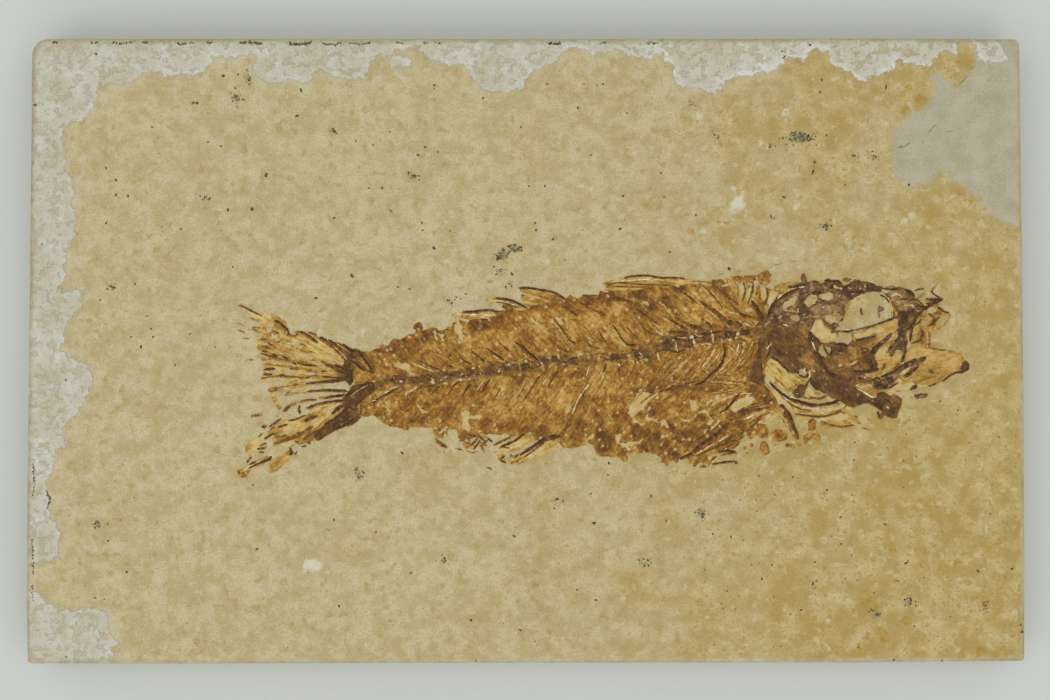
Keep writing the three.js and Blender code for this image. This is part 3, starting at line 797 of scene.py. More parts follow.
make_specks()
smear = np.zeros(len(at))
for u, v, wide, high, count in CLUSTERS:
    gap = ((at[:, 0] - u) / (0.6 * wide + 2)) ** 2 + ((at[:, 1] - v) / (0.6 * high + 2)) ** 2
    smear = np.maximum(smear, min(1, 0.4 + count / 45) * np.exp(-gap))
paint(slab, "smear", smear)

# %% [markdown]
# ## Sheets: skin, fin webs and flat bones
#
# A pressed skin or bone is a thin sheet with an uneven outline. It starts as a flat grid. The
# points outside the outline are deleted, the new border is pulled onto the outline, the rim is
# rounded down, and a skirt is extruded into the stone and closed underneath.

# %% Cut a sheet to its outline
SUNK = 0.10 * MM
FEEL = 0.2


def ragged(at, drawn, amount, seed):
    """The distance to the drawn shapes, with a coarse and a fine raggedness added."""
    return distance(at, drawn) + amount * 2 * (rough(at, 3.2, seed) + 0.6 * rough(at, 1.5, seed + 1) - 0.8)


def make_sheet(table, gap, thick, torn, seed, round_off, lumps):
    drawn = shapes(table)
    everything = np.vstack([points for _, _, points in drawn])
    widest = max(max(sizes) for _, sizes, _ in drawn) + 3
    low, high = everything.min(0) - widest, everything.max(0) + widest
    counts = np.ceil((high - low) / gap).astype(int)
    bm = bmesh.new()
    columns, rows = (int(count) for count in counts)
    bmesh.ops.create_grid(bm, x_segments=columns, y_segments=rows, size=0.5)
    at = low + (np.array([v.co[:2] for v in bm.verts]) + 0.5) * counts * gap

    def edge(at):
        return ragged(at, drawn, torn, seed)

    gone = edge(at)
    for vert, (u, v) in zip(bm.verts, at):
        vert.co = (u, v, 0)
    outside = [v for v, far in zip(bm.verts, gone) if far > 0.45 * gap]
    bmesh.ops.delete(bm, geom=outside, context="VERTS")
    tidy_border(bm)
    border = [v for v in bm.verts if v.is_boundary]
    at = np.array([v.co[:2] for v in border])
    for _ in range(2):
        d = edge(at)
        slope = np.stack([edge(at + (FEEL, 0)) - d, edge(at + (0, FEEL)) - d], axis=1) / FEEL
        steep = np.maximum((slope**2).sum(1), 0.25)
        move = -slope * (d / steep)[:, None]
        size = np.hypot(*move.T)
        at = at + move * np.minimum(1, 0.7 * gap / np.maximum(size, 1e-6))[:, None]
    for vert, (u, v) in zip(border, at):
        vert.co = (u, v, 0)
    at = np.array([v.co[:2] for v in bm.verts])
    depth = np.clip(-edge(at) / round_off, 0, 1)
    rise = thick * (0.3 + 0.7 * np.sqrt(depth * (2 - depth)))
    rise = rise + lumps * depth * (rough(at, 5, seed + 2) + 0.5 * rough(at, 2.2, seed + 3) - 0.75)
    xy = to_stone(at)
    for vert, (x, y), z in zip(bm.verts, xy, FACE + rise * MM):
        vert.co = (x, y, z)
    close_below(bm)
    return bm


def tidy_border(bm):
    """Deletes strays and the points where two faces only touch at a corner."""
    while True:
        loose = [v for v in bm.verts if not v.link_faces]
        pinched = [v for v in bm.verts if sum(e.is_boundary for e in v.link_edges) > 2]
        if not loose and not pinched:
            return
        bmesh.ops.delete(bm, geom=loose + pinched, context="VERTS")


def close_below(bm):
    rim = [edge for edge in bm.edges if edge.is_boundary]
    for edge in rim:
        edge.smooth = False
    made = bmesh.ops.extrude_edge_only(bm, edges=rim)["geom"]
    for vert in (g for g in made if isinstance(g, bmesh.types.BMVert)):
        vert.co.z = FACE - SUNK
    foot = [g for g in made if isinstance(g, bmesh.types.BMEdge)]
    bmesh.ops.triangle_fill(bm, edges=foot, use_beauty=False, use_dissolve=False, normal=(0, 0, -1))
    for face in bm.faces:
        face.smooth = True
    bmesh.ops.recalc_face_normals(bm, faces=bm.faces)


# %% [markdown]
# ## Slivers: rays, ribs and spines
#
# A ray or a rib is a thin ridge that tapers along a curve. A narrow grid, five points wide, is
# bent along the traced line, its middle is raised, both ends are pinched, and the open underside
# is closed with one face. Its tone, from black-brown to white, is kept on its points. On the side
# that faces the light the tone is painted paler, a painted highlight along the ridge.

# %% Bend a sliver along a line
# The pale and white tones mostly draw painted light: pale lines beside dark rays, ribs and spines are
# painted highlights on the side the light comes from, and white marks are painted glints.
TONES = {"dark": 0.12, "brown": 0.3, "rust": 0.46, "amber": 0.66, "pale": 0.8, "white": 0.94}
PROFILE = [(-1.0, None), (-0.75, 0.55), (0.0, 1.0), (0.75, 0.55), (1.0, None)]


def slivers(table):
    """Rows such as 'dark 3>1 10,10 20,12'."""
    return [(TONES[tone], widths, points) for tone, widths, points in shapes(table)]


def add_sliver(bm, tone, widths, points, rise, under, draw, bold):
    path = smooth(points, 2.0)
    count = len(path) + 1
    made = bmesh.ops.create_grid(bm, x_segments=count, y_segments=4, size=0.5)["verts"]
    ahead = np.gradient(path, axis=0)
    ahead /= np.maximum(np.hypot(*ahead.T), 1e-6)[:, None]
    path = np.vstack([path[:1] - 0.8 * ahead[:1], path, path[-1:] + 0.8 * ahead[-1:]])
    ahead = np.vstack([ahead[:1], ahead, ahead[-1:]])
    aside = np.stack([-ahead[:, 1], ahead[:, 0]], axis=1)
    # Painted highlight: the side of a sliver that faces the light, from the lower left of the picture, gets
    # a tone that is mostly paler, unless the sliver is already pale.
    lit_side = np.sign(aside.mean(0) @ (-0.5, 0.85)) or 1.0
    painted_highlight = draw.uniform(-0.1, 0.42) if tone < 0.8 else 0
    share = np.clip((np.arange(count + 1) - 1) / max(count - 2, 1), 0, 1)
    near_end = np.minimum(share, 1 - share) * max(count - 2, 1) * 2.0
    swell = np.clip(0.45 + near_end / 5, 0, 1) * draw.uniform(0.72, 1.3, count + 1)
    half = 0.62 * bold * (widths[0] + (widths[1] - widths[0]) * share) * swell
    half[[0, -1]] *= 0.3
    tones = tone + draw.normal(0, 0.09, count + 1)
    layer = bm.verts.layers.float["tone"]
    for vert in made:
        i = round((vert.co.x + 0.5) * count)
        side, height = PROFILE[round((vert.co.y + 0.5) * 4)]
        x, y = to_stone(path[i] + aside[i] * side * half[i])
        low = i in (0, count) or height is None
        lift = under + rise * height * min(1, 0.4 + swell[i]) if not low else 0
        vert.co = (x, y, FACE - SUNK if low else FACE + lift * MM)
        vert[layer] = tones[i] + (painted_highlight if side * lit_side > 0.5 else 0)
    ours = set(made)
    rim = {e for v in made for e in v.link_edges if e.is_boundary and e.other_vert(v) in ours}
    bmesh.ops.holes_fill(bm, edges=list(rim), sides=0)


def make_slivers(name, slot, lines, rise, under, bold=1.0, fade=0.0):
    """All slivers of one name as one piece. Rise and under are the ridge and what lies below it."""
    bm = bmesh.new()
    bm.verts.layers.float.new("tone")
    draw = np.random.default_rng(3)
    for tone, widths, points in lines:
        shaken = points + draw.normal(0, 0.3, points.shape)
        add_sliver(bm, tone + fade, widths, shaken, rise * draw.uniform(0.8, 1.2), under, draw, bold)
    bmesh.ops.recalc_face_normals(bm, faces=bm.faces)
    for face in bm.faces:
        face.smooth = len(face.verts) < 5
    return finish(name, bm, bone, slot, [slot])


def bone_finish():
    f = Finish("mineral_bone", 0.5, 0.18)
    tone = f.nudge(f.read("tone"), f.noise(0.9, 3, 0.6), 0.45, f.noise(0.28, 2), 0.35)
    stops = [
        (0.0, 56, 36, 20), (0.2, 84, 56, 29), (0.38, 116, 79, 36), (0.55, 150, 106, 45),
        (0.70, 184, 146, 72), (0.84, 206, 182, 122), (1.0, 226, 220, 200),
    ]
    return f.done(f.ramp(tone, *stops), f.bump(f.noise(0.25, 3), 0.05))


bone = bone_finish()

# %% [markdown]
# ## The finish of the pressed skin
#
# The scales have turned to an orange-brown film. It is mottled like tortoiseshell: small cream
# freckles where the stone shows through, darker round patches where scales overlap, and a fine
# grain that slants away from the backbone above it and below it. The same recipe serves the webs
# and the flat bones with other tints. Painted fields say where a film is shaded, glows, has come
# loose or is bare, and noise frays their edges.

# %% The finish of the skin, the webs and the flat bones
TINT_STOPS = (0.04, 0.26, 0.46, 0.62, 0.84)


def film_finish(name, tints, streaky=0.5, freckles=0.6, contrast=2.6, drawn_out=0.16):
    """A film of mineral. The tints run from its darkest to its palest."""
    f = Finish(name, 0.55, 0.15)
    grain = f.read("grain", "Vector")
    streak = f.noise(0.42, 4, 0.6, at=f.turned(0, (drawn_out, 1, 1), grain))
    cloud = f.noise(1.15, 4, 0.62, warp=0.7)
    fine = f.noise(0.36, 3, 0.6)
    mottle = f.times(cloud, 0.7, f.times(fine, 0.3))
    body = f.times(streak, streaky, f.times(mottle, 1 - streaky))
    body = f.times(body, contrast, 0.5 - contrast / 2)
    body = f.times(f.nudge(f.read("glow"), fine, 0.8), 0.22, body)
    lying = f.turned(0, (0.9, 1.1, 1), f.bent(grain, cloud))
    shade = f.nudge(f.read("shade"), cloud, 1.3, fine, 0.7)
    body = f.times(f.step(shade, 0.3, 0.75), -0.26, body)
    loose = f.read("loose")
    scale = f.times(f.cells(1.35, at=lying, output="Color"), 0.9, -0.45)
    body = f.times(scale, f.times(loose, 0.22, 0.2), body)
    colour = f.ramp(body, *((place, *tint) for place, tint in zip(TINT_STOPS, tints)))
    dots = f.nudge(f.cells(1.0, at=lying), fine, 0.36)
    freckle = f.step(dots, 0.34, 0.10, 0, freckles)
    freckle = f.times(freckle, f.step(f.cells(1.0, at=lying, output="Color"), 0.30, 0.46))
    freckle = f.times(freckle, f.step(f.noise(2.8, 2), 0.32, 0.48))
    colour = f.mix(freckle, colour, eye(*tints[5]))
    rags = f.nudge(f.read("bare"), f.noise(0.8, 3, 0.6), 0.9, fine, 0.4)
    seams = f.step(f.cells(1.35, "DISTANCE_TO_EDGE", lying), 0.13, 0.02, 0, 0.42)
    rags = f.times(f.times(seams, f.step(streak, 0.42, 0.58)), loose, rags)
    holes = f.step(rags, 0.38, 0.66, 0, 0.95)
    through = f.mix(f.step(cloud, 0.35, 0.65), eye(184, 156, 90), eye(194, 178, 128))
    colour = f.mix(holes, colour, through)
    lines = f.step(f.nudge(f.read("line"), f.noise(0.4, 3), 0.6), 0.42, 0.60)
    colour = f.mix(lines, colour, f.mix(f.step(fine, 0.4, 0.6), eye(78, 52, 28), eye(112, 76, 38)))
    height = f.times(streak, 0.7, f.times(mottle, 0.8))
    height = f.minus(height, f.times(holes, 0.6))
    height = f.plus(height, f.times(lines, 0.4))
    return f.done(colour, f.bump(height, 0.11))


def slanted(degrees):
    """A grain that runs straight, at this angle below the line to the head."""
    c, s = math.cos(math.radians(degrees)), math.sin(math.radians(degrees))
    return lambda at: np.stack([at[:, 0] * c + at[:, 1] * s, at[:, 1] * c - at[:, 0] * s], axis=1)


def fanned(u, v, spread=60.0):
    """A grain that runs out from one point, as rays do from the root of a fin."""

    def grain(at):
        away = at - (u, v)
        return np.stack([np.hypot(*away.T), np.arctan2(away[:, 1], away[:, 0]) * spread], axis=1)

    return grain


def paint_film(piece, grain, soft, tables):
    """The fields that a film's finish reads, from tables of where each of them lies."""
    at = places(piece)
    uneven = stray(stray(at, 1.9, 7, 81), 1.2, 2.6, 82)
    spreads = {"shade": soft, "glow": soft, "loose": soft, "bare": 1.6, "line": 1.5}
    for name, spread in spreads.items():
        drawn = name in tables
        paint(piece, name, edge_field(uneven, tables[name], spread) if drawn else np.zeros(len(at)))
    runs = np.zeros((len(at), 3))
    runs[:, :2] = grain(at) * STEP
    layer = piece.data.attributes.new("grain", "FLOAT_VECTOR", "POINT")
    layer.data.foreach_set("vector", runs.astype(np.float32).ravel())


def make_film(
    name, slot, material, outline, grain, soft, *, thick, seed,
    gap=0.8, torn=0.6, round_off=2.0, lumps=0.03, **tables
):
    """A sheet with its finish on and its fields painted."""
    sheet = make_sheet(outline, gap, thick, torn, seed, round_off, lumps)
    paint_film(finish(name, sheet, material, slot, [slot]), grain, soft, tables)


SKIN = [(84, 55, 21), (114, 75, 27), (141, 97, 34), (160, 118, 47), (186, 149, 76), (208, 182, 118)]
WEB = [(110, 75, 32), (137, 97, 41), (164, 127, 58), (186, 155, 82), (201, 178, 114), (214, 198, 150)]
PLATE = [(64, 43, 20), (90, 61, 28), (113, 79, 37), (137, 98, 43), (172, 130, 60), (200, 182, 140)]
SPINE = [(66, 47, 24), (101, 73, 35), (131, 97, 46), (156, 119, 58), (190, 154, 88), (210, 194, 152)]
ROOF = [(56, 39, 24), (80, 57, 35), (104, 75, 45), (130, 98, 60), (160, 130, 84), (200, 184, 144)]
JAW = [(104, 70, 32), (134, 97, 44), (158, 122, 56), (176, 140, 70), (194, 162, 98), (208, 188, 138)]
skin_finish = film_finish("pressed_scales", SKIN, 0.3, 0.75, 2.9, 0.3)
web_finish = film_finish("fin_web", WEB, 0.65, 0.3, 2.4)
plate_finish = film_finish("head_bone", PLATE, 0.3, 0.25, 2.3, 0.4)
spine_finish = film_finish("backbone_bone", SPINE, 0.2, 0.9, 3.4, 0.6)
roof_finish = film_finish("skull_bone", ROOF, 0.35, 0.3, 2.8, 0.3)
jaw_finish = film_finish("jaw_skin", JAW, 0.5, 0.3, 2.2)

# %% [markdown]
# ## The flank
#
# The skin of scales covers the fish's side from behind the head to the root of the tail. Its upper
# border is ragged and its belly breaks up into loose scales. Its windows down to the stone are
# painted bare spots.

# %% The skin of scales
FLANK = """
patch 353,349 360,351 370,351 380,348 383,345 388,345 392,340 401,339 403,337 410,334.5 415,333 424,331 \
430,328 437,328 439,330.5 446,329 452,326 454,322 460,320 468,322 469,320 475,318.5 490,318 500,313 \
506,310 520,310 527,309 531,307 537,304.5 545,303 552,301 560,303 565,300 570,295 577,299 583,295 598,297 \
600,290 605,292 612,291 625,289 640,289 655,286 668,287 683,284 690,283 700,283 708,286 716,284 722,287 \
730,285 738,287 746,284 752,287 759,286 766,289 775,290 783,287 787,285 781,292 776,300 772,312 770,330 \
772,345 768,365 764,385 772,393 778,402 775,410 764,413 752,414 748,420 748,434 742,440 735,448 722,452 \
706,457 697,465 690,459 679,459 677,466 673,461 668,464 661,463 662,458 657,454 641,452 638,456 634,451 \
628,455 626,461.5 622,461 617,457 600,456 596,453 594,446 588,443 583,446 568,448 562,446 560,442 535,440 \
530,432 518,436 512,437 507,434 480,434 470,436 462,441 458,438 458,430 448,429 434,427 425,428 411,427 \
408,430.5 402,428.5 393,427 385,424 378,419 374,415 368,417 362,416 358,408 362,398 366,388 356,384 \
353,378 352,370 354,362 352,356
dots 4.6 418,327
patch 433,428 448,429 448,438 436,438 433,433
patch 706,282 712,280.5 720,279.5 727,279 729,284 720,284.5 712,286
patch 729,278 735,276 742,276 745,280 739,284 730,283
patch 744,276 752,275 757,274 758,279 752,283 746,282
patch 757,279 759,274 764,270.5 769,270.5 771,275 770,281 766,286 760,284
patch 748,429 752,422 759,422 766,425 769,431 768,437 762,439 755,437 750,440 747,434
patch 771,433 776,429 782,430 787,434 786,440 779,442 772,440
patch 807,422 812,418.5 817,421 816,428 818,433 821,438 818,441 813,438 812,432 808,430
patch 803,436 808,433 812,437 809,442 804,441
patch 760,442 765,441 768,446 771,452 764,455 760,450
dots 2 787,445 793,446 745,448
dots 1.5 752,445 776,446 799,445 736,453
dots 2 747,453
dots 1.2 631,463 655,464 667,465
patch 688,456 694,452 700,455 700,464 694,466 689,463
patch 702,460 708,458 713,463 708,467 702,466
"""
SKIN_BARE = """
patch 393,361 401,361 407,364 412,368 404,369 396,366
patch 434,332 437,331 439,340 436,341
patch 441,334 445,334 444,342 441,341
line 1.6 386,404 388,409 389,414; 395,404 392,408 391,413
line 1.8 417,405 421,410 426,414
patch 455,324 459,319 463,327 462,334 466,345 460,345 457,336
patch 461,411 468,410 470,415 482,416 480,420 469,420 468,432 464,430
patch 556,315 563,317 562,325 557,323
patch 640,300 650,302 649,306 641,304
patch 654,330 663,331 662,334 655,333
patch 628,404 636,398 640,392 648,392 658,390 660,394 648,402 642,410 632,418 627,414
patch 689,401 697,402 698,410 691,411
line 2.2 652,408 648,410.5 646.5,415 648,420 654,421.5 661,422
patch 661,421 668,420 668,424 666,429 663,426
patch 660,433 668,434 667,437 661,437
patch 587,435 592,432 593,440 587,441
patch 616,433 620,434 621,441 626,443 632,441 636,442 634,446 629,446 628,451 623,447 618,443 615,438
line 1.8 609,417 612,422 607,425
line 2.4 634,421 640,424 645,423
line 2.6 682,420 690,420
line 1.6 636,443 641,440
patch 740,285 744,283 746,290 744,297 740,296
patch 748,285 751,285 752,294 749,302 746,301
patch 754,285 757,284 757,291 754,297
patch 760,288 764,286 767,291 765,299 761,300
patch 769,290 774,291 779,294 778,302 772,306 768,303
patch 762,303 767,305 768,310 764,309
patch 744,309 749,306 753,310 748,314
patch 717,312 723,310 722,315
patch 730,313 734,311 735,316
patch 742,341 747,342 745,347
patch 731,410 733,403 740,398 748,395 753,396 751,403 744,409 736,413
patch 566,408 572,402 570,412 566,416
patch 600,372 606,368 606,376 601,378
line 2 380,394 388,390 396,386; 405,395 414,389 420,385; 640,392 650,384 656,378
line 1.6 706,410 710,417 708,424
line 2 704,432 712,428 718,420; 438,432 444,431 446,436
line 1.8 706,404 716,398 727,395
line 2 700,412 711,406 724,396
line 1.6 530,318 540,326 548,334; 554,322 562,332 570,342; 610,325 618,336 625,345; 588,338 594,346 600,350
line 2 690,292 699,300 706,310
line 1.8 704,287 713,296 722,304; 660,302 668,309 675,317
"""
SKIN_SHADE = """
dots 5 396,343 404,341 398,351 408,348 415,341 425,338 434,334 413,353 402,356 392,350
dots 4 394,420 401,420 413,420 422,420 448,413 453,417 441,433 418,327
dots 6 474,325 482,323 490,322 500,318 509,314 452,432 487,424 524,432 541,432
dots 7 600,433 603,447 579,426 576,440 637,432 652,436 664,444 680,436 694,432 672,452 648,447
dots 5 620,430 618,416 612,440 624,418 670,426 654,412 690,444 706,430 700,418 596,412
dots 6 645,314 656,318 652,306 568,304 730,440 735,446 722,446
dots 6 756,388 764,397 770,402
dots 2.5 757,431 777,437
dots 7 724,289 729,297 718,284 665,300 640,294 610,297 590,300 680,288
dots 7 745,410 735,420 720,428 706,438 752,392 758,388
line 5 600,297 628,297
line 4 512,308 540,306 565,303 598,299
dots 8 760,338 762,320
line 7 640,392 680,386 730,392
"""
SKIN_GLOW = """
dots 12 560,400 540,390 600,384 520,398 500,392 690,310 660,322 620,335 590,322
dots 9 700,300 720,308 745,300 735,290 560,315 620,308
dots 10 735,385 730,362 540,325 575,325 505,340 470,345 715,315 745,298
"""
SKIN_LOOSE = """
line 26>30 575,440 620,440 660,440 700,444
line 16>10 385,348 420,340 470,328 510,318
line 9 388,424 430,426 480,430 530,436
line 12 705,286 740,282 768,278
patch 740,400 700,420 690,450 730,450 750,420
dots 8 758,430 776,436 811,430
dots 10 500,415 640,410 670,415
"""

BACKBONE = trace(
    "374,385 390,379 405,378 420,379 435,377 455,374 470,372 485,371 500,368 515,367 530,364 "
    "545,361 560,358 575,360 590,358 600,358 615,356 635,354 648,353 662,347 676,344 692,342 705,337 "
    "720,335 735,334 750,333 766,330".split()
)


def flank_grain(at):
    """The skin's grain slants one way above the backbone and the other way below it."""
    ridge = np.interp(at[:, 0], BACKBONE[:, 0], BACKBONE[:, 1])
    return np.where((at[:, 1] < ridge)[:, None], slanted(42)(at), slanted(125)(at))


make_film(
    "flank_skin", "flank_scales", skin_finish, FLANK, flank_grain, 5.0, gap=1.05, thick=0.13, torn=0.9,
    seed=21, round_off=3.0, lumps=0.04, shade=SKIN_SHADE, bare=SKIN_BARE, glow=SKIN_GLOW,
    loose=SKIN_LOOSE,
)

# %% [markdown]
# Ribs and the long supports of the fins lie under the skin and show as slanted ridges. Each one
# was traced; the finest hatch between them is drawn by sliding one guide line towards another.

# %% Ribs and fine hatching
# The pale row is a painted highlight beside the dark ribs.
RIBS = """
dark 3>2 723,344 725,352 721,365 712,374 703,381 695,385
brown 2>1 674,362 667,371
amber 2 589,384 580,397 572,415
brown 3>4 572,415 568,425 560,437
brown 2 656,378 646,389
brown 2>1 660,392 680,386 700,380
rust 2>1 745,345 735,362 720,372
brown 2>1 755,343 750,358 735,372
dark 2 740,394 727,408 720,413
rust 2 640,403 655,392 672,383 690,378; 645,415 668,398 690,388
brown 3 768,408 757,410 748,413 737,419 729,420
brown 2 762,415 755,424 746,432
brown 1.6 586,389 579,402 573,415
pale 1.2 378,396 386,392 394,388
brown 1.6 744,283 745,292 742,302; 753,283 752,292 748,304
rust 1.6 758,284 759,293 757,303
brown 1.4 767,288 767,298 764,308
rust 1.4 735,282 738,290 737,298
amber 1.4 728,345 737,353 742,362
"""
HATCH = [
    ("762,343 757,358 744,374 728,386", "676,356 668,370 655,382 640,394", 17, "rust", 1.3),
    ("744,390 716,388 690,388 664,396", "742,378 720,374 700,372 680,378", 6, "rust", 1.2),
    ("672,356 660,376 640,398 622,420", "598,362 590,380 578,402 566,424", 11, "rust", 1.1),
    ("756,372 748,384 730,392 712,400", "735,406 716,414 698,426 684,438", 6, "rust", 1.2),
    ("596,366 588,382 576,400 566,416", "410,392 402,402 394,412 388,420", 22, "rust", 0.8),
    ("752,342 746,354 736,366 722,380", "690,352 682,362 672,372 660,384", 9, "amber", 1.5),
    ("752,384 735,379 716,376 700,375", "750,396 735,398 718,406 704,414", 7, "amber", 1.3),
    ("756,318 735,304 716,288 702,281", "612,348 600,334 590,318 582,304", 16, "rust", 1.0),
    ("604,346 590,326 578,310 570,300", "424,372 414,360 406,350 400,342", 22, "rust", 0.8),
]


def slid(first, last, count, draw, stray=1.6):
    """Lines between two guide lines, each shaken a little and left off short at random."""
    a, b = trace(first.split()), trace(last.split())
    for share in np.linspace(0, 1, count):
        line = a + (b - a) * (share + draw.normal(0, 0.3 / count))
        line = smooth(line + draw.normal(0, stray, 2), 4)
        start = draw.integers(0, max(len(line) // 3, 1))
        end = len(line) - draw.integers(0, max(len(line) // 2, 1))
        if end - start > 3:
            yield line[start:end]


def hatch_lines():
    draw = np.random.default_rng(31)
    for first, last, count, tone, width in HATCH:
        for line in slid(first, last, count, draw):
            yield TONES[tone] + draw.normal(0, 0.07), (width, width * 0.4), line


make_slivers("ribs", "flank_scales", slivers(RIBS), 0.16, 0.10)
make_slivers("fine_ribs", "flank_scales", hatch_lines(), 0.05, 0.13)

# %% [markdown]
# ## The backbone
#
# The backbone is a chain of short drum-shaped vertebrae, each narrower at its waist. Every one is a
# ball squared off by a power curve and pinched in the middle. They lie in a band of crushed bone,
# a dark sheet with frayed borders. A slanting spine runs up and down from most of them. The small
# pale and white glints are painted highlights, where the bone would catch the light.

# %% The vertebrae and their spines
# The last row, thin amber lines, is a painted highlight beside the dark spines.
SPINES = """
brown 2.4>1 440,371 432,367 418,360
brown 2.2>1 455,368 447,365 441,359 434,355
dark 2>1 471,364 465,361 459,357
dark 2.2>1 484,361 478,356 472,351 472,348
dark 2.4>1 503,360 495,354 487,348
brown 2>1 510,352 499,343
dark 2.4>1 538,360 530,354 522,347 514,342
brown 2>1 568,352 560,348 550,338
brown 2.6>1 575,344 568,338 560,328 553,319 545,313
brown 2>1 600,349 593,347 588,342 582,333; 608,344 604,340 598,330
dark 2.4>1 636,345 626,344 619,334 613,325
brown 2>1 638,339 633,334 627,327; 651,334 647,331 640,326
brown 2.6>1.4 577,316 570,311 562,306; 605,316 592,309 580,303
brown 3.4>2 610,299 628,301 637,309 647,317 660,325
brown 2>1 655,302 645,297
brown 2.4>1 697,303 688,296 680,290; 722,308 712,295 700,283
brown 3.4>2 738,305 726,297 716,286
brown 5.6>2.4 742,325 727,321 716,313 699,301
brown 5.4>2.4 758,321 749,318 740,314 731,305
dark 4.4>3 763,320 757,310 751,300
brown 4.4>2 712,329 708,324 701,319
brown 4>1.6 703,330 690,325 675,318
brown 2>1 688,330 676,324 664,316
dark 2.6>1.4 398,388 385,395 372,403
brown 2>1 425,386 417,390 406,397; 440,386 431,394
dark 2>1 460,381 454,386 448,395
dark 2.4>1 470,384 466,390 462,397; 490,380 485,386 481,393
brown 2>1 500,388 495,396; 513,390 509,397
dark 2>1 524,374 518,385
brown 2.2>1 539,376 533,386 528,395 523,401
dark 2.2>1 558,371 551,381 549,387
brown 1.8>1 572,373 569,378
pale 1.8>1 590,366 586,377
dark 3>2 606,364 603,373
dark 2 619,366 618,372
brown 1.4 637,360 641,364
amber 1.2 630,352 623,342 617,333; 553,324 560,334 567,342; 412,362 424,368 434,372; 449,356 456,361 \
462,364; 489,352 497,358 505,363; 521,351 529,358 536,362; 515,400 521,390 525,380; 540,388 545,380 \
551,374; 476,392 481,384 486,378; 375,405 386,398 397,391
"""
# Painted highlights: the pale and white rows are glints painted on the bone; the dark and brown rows are
# small dark marks.
GLINTS = """
pale 1.5 675,342 676,346 676,349
white 1.2 676,349 678,352; 692,336 693,339
pale 2.4>3 693,339 694.5,344 696,347
pale 2.2>2.6 711,331 713,336 713.5,342
white 1.2 711,330 711.5,332
pale 1.8 727,333 728,336
brown 1.2 729,334 728,339
pale 1.4 743,327 747,324 751,327
white 1.2 745,323 749,326
pale 1.3 755,323 758,321
amber 1.6 695,334 699,336 703,335
amber 1.3 677,337 683,338 688,338
pale 1.4 705,346 706,350
pale 2 657,353 658,358 660,361
white 1.2 431,378 434,380; 480,372 482,375
pale 1.2 460,375 463,374
white 1.2 541,362 543,365
pale 1.4 586,347 590,350; 606,357 609,358
white 1.4 618,363 620,366; 639,352 642,356
dark 1.4 636,357 640,360
brown 2.4 668,333 678,332 688,333
dark 1.8 700,335 708,334 718,332
dark 1.4 560,358 566,362 572,358
dark 1.6 668,349 676,352 684,350
pale 1.2 700,345 706,344 712,345
white 1.2 706,371 709,373; 738,344 738,350; 372,401 376,400
"""
BACKBONE_MASS = """
patch 374,380 380,374 388,373 395,376 402,372 410,371 420,373 430,370 440,371 451,371 458,366 466,367 \
474,366 480,364 488,363 496,362 504,362 512,360 520,360 530,359 537,357 545,354 553,352 560,351 566,354 \
574,354 582,352 588,349 596,351 604,353 612,353 620,351 628,350 634,348 640,346 648,348 655,345 659,336 \
668,335 677,334 686,332 694,330 702,329 712,330 722,328 732,327 742,326 752,325 760,322 768,317 770,342 \
760,341 750,342 741,342 730,343 720,344 712,346 703,347 694,349 684,351 675,352 664,353 656,356 652,362 \
645,364 640,366 634,363 626,361 617,364 608,363 599,362 590,361 582,366 574,368 565,368 556,368 549,368 \
541,372 532,371 524,375 515,373 506,375 498,376 490,378 480,380 470,381 460,382 450,384 440,386 430,388 \
420,387 410,387 400,388 390,387 380,386
"""
MASS_SHADE = """
line 9 388,380 410,380 435,378 455,375 470,374 485,372 500,370 515,367 530,366 545,363
line 5 560,360 575,361 600,358 615,358 635,355
line 8 648,356 652,350
line 9 662,343 690,338 710,336 730,335
dots 4 708,335 722,336 738,333 752,332 764,330 640,352 648,352 665,340
"""
MASS_BARE = """
patch 406,371 412,370 416,373 409,374
patch 576,351 583,350 584,354 578,355
patch 600,366 608,365 610,368 602,369
patch 620,350 625,349 625,353
patch 654,332 662,331 662,335 656,335
dots 1 441,379 466,381 478,366 520,362 548,357 588,353 612,352 672,340 694,338 712,334 730,336 746,332
dots 1.2 425,374 452,373 474,376 505,366 536,364 566,358 598,357 630,356 655,350 684,344 702,342 720,341 \
736,338 756,336
"""
MASS_GLOW = """
dots 4 385,377 415,376 445,376 512,366 540,366
line 7 584,356 610,357 630,354
line 5 738,336 750,335 762,332
"""


BARE_END = 4.0
SQUARED_OFF = 0.6


def add_vertebra(bm, centre, ahead, size, draw):
    """One vertebra. Its size is half its length and width in steps, and its height in mm."""
    made = bmesh.ops.create_uvsphere(bm, u_segments=12, v_segments=6, radius=1.0)["verts"]
    layer = bm.verts.layers.float["tone"]
    tone = draw.uniform(0.16, 0.38)
    long, wide, high = size
    for vert in made:
        a, b, c = (math.copysign(abs(value) ** SQUARED_OFF, value) for value in vert.co)
        waist = 0.74 + 0.26 * a * a
        lump = 1 + draw.normal(0, 0.13)
        along_it, across_it = a * long * lump, b * wide * waist * lump
        spot = centre + ahead * along_it + np.array([-ahead[1], ahead[0]]) * across_it
        x, y = to_stone(spot)
        vert.co = (x, y, FACE + (0.08 + high * c * waist) * MM)
        vert[layer] = tone + 0.2 * abs(a) ** 3 + draw.normal(0, 0.1)


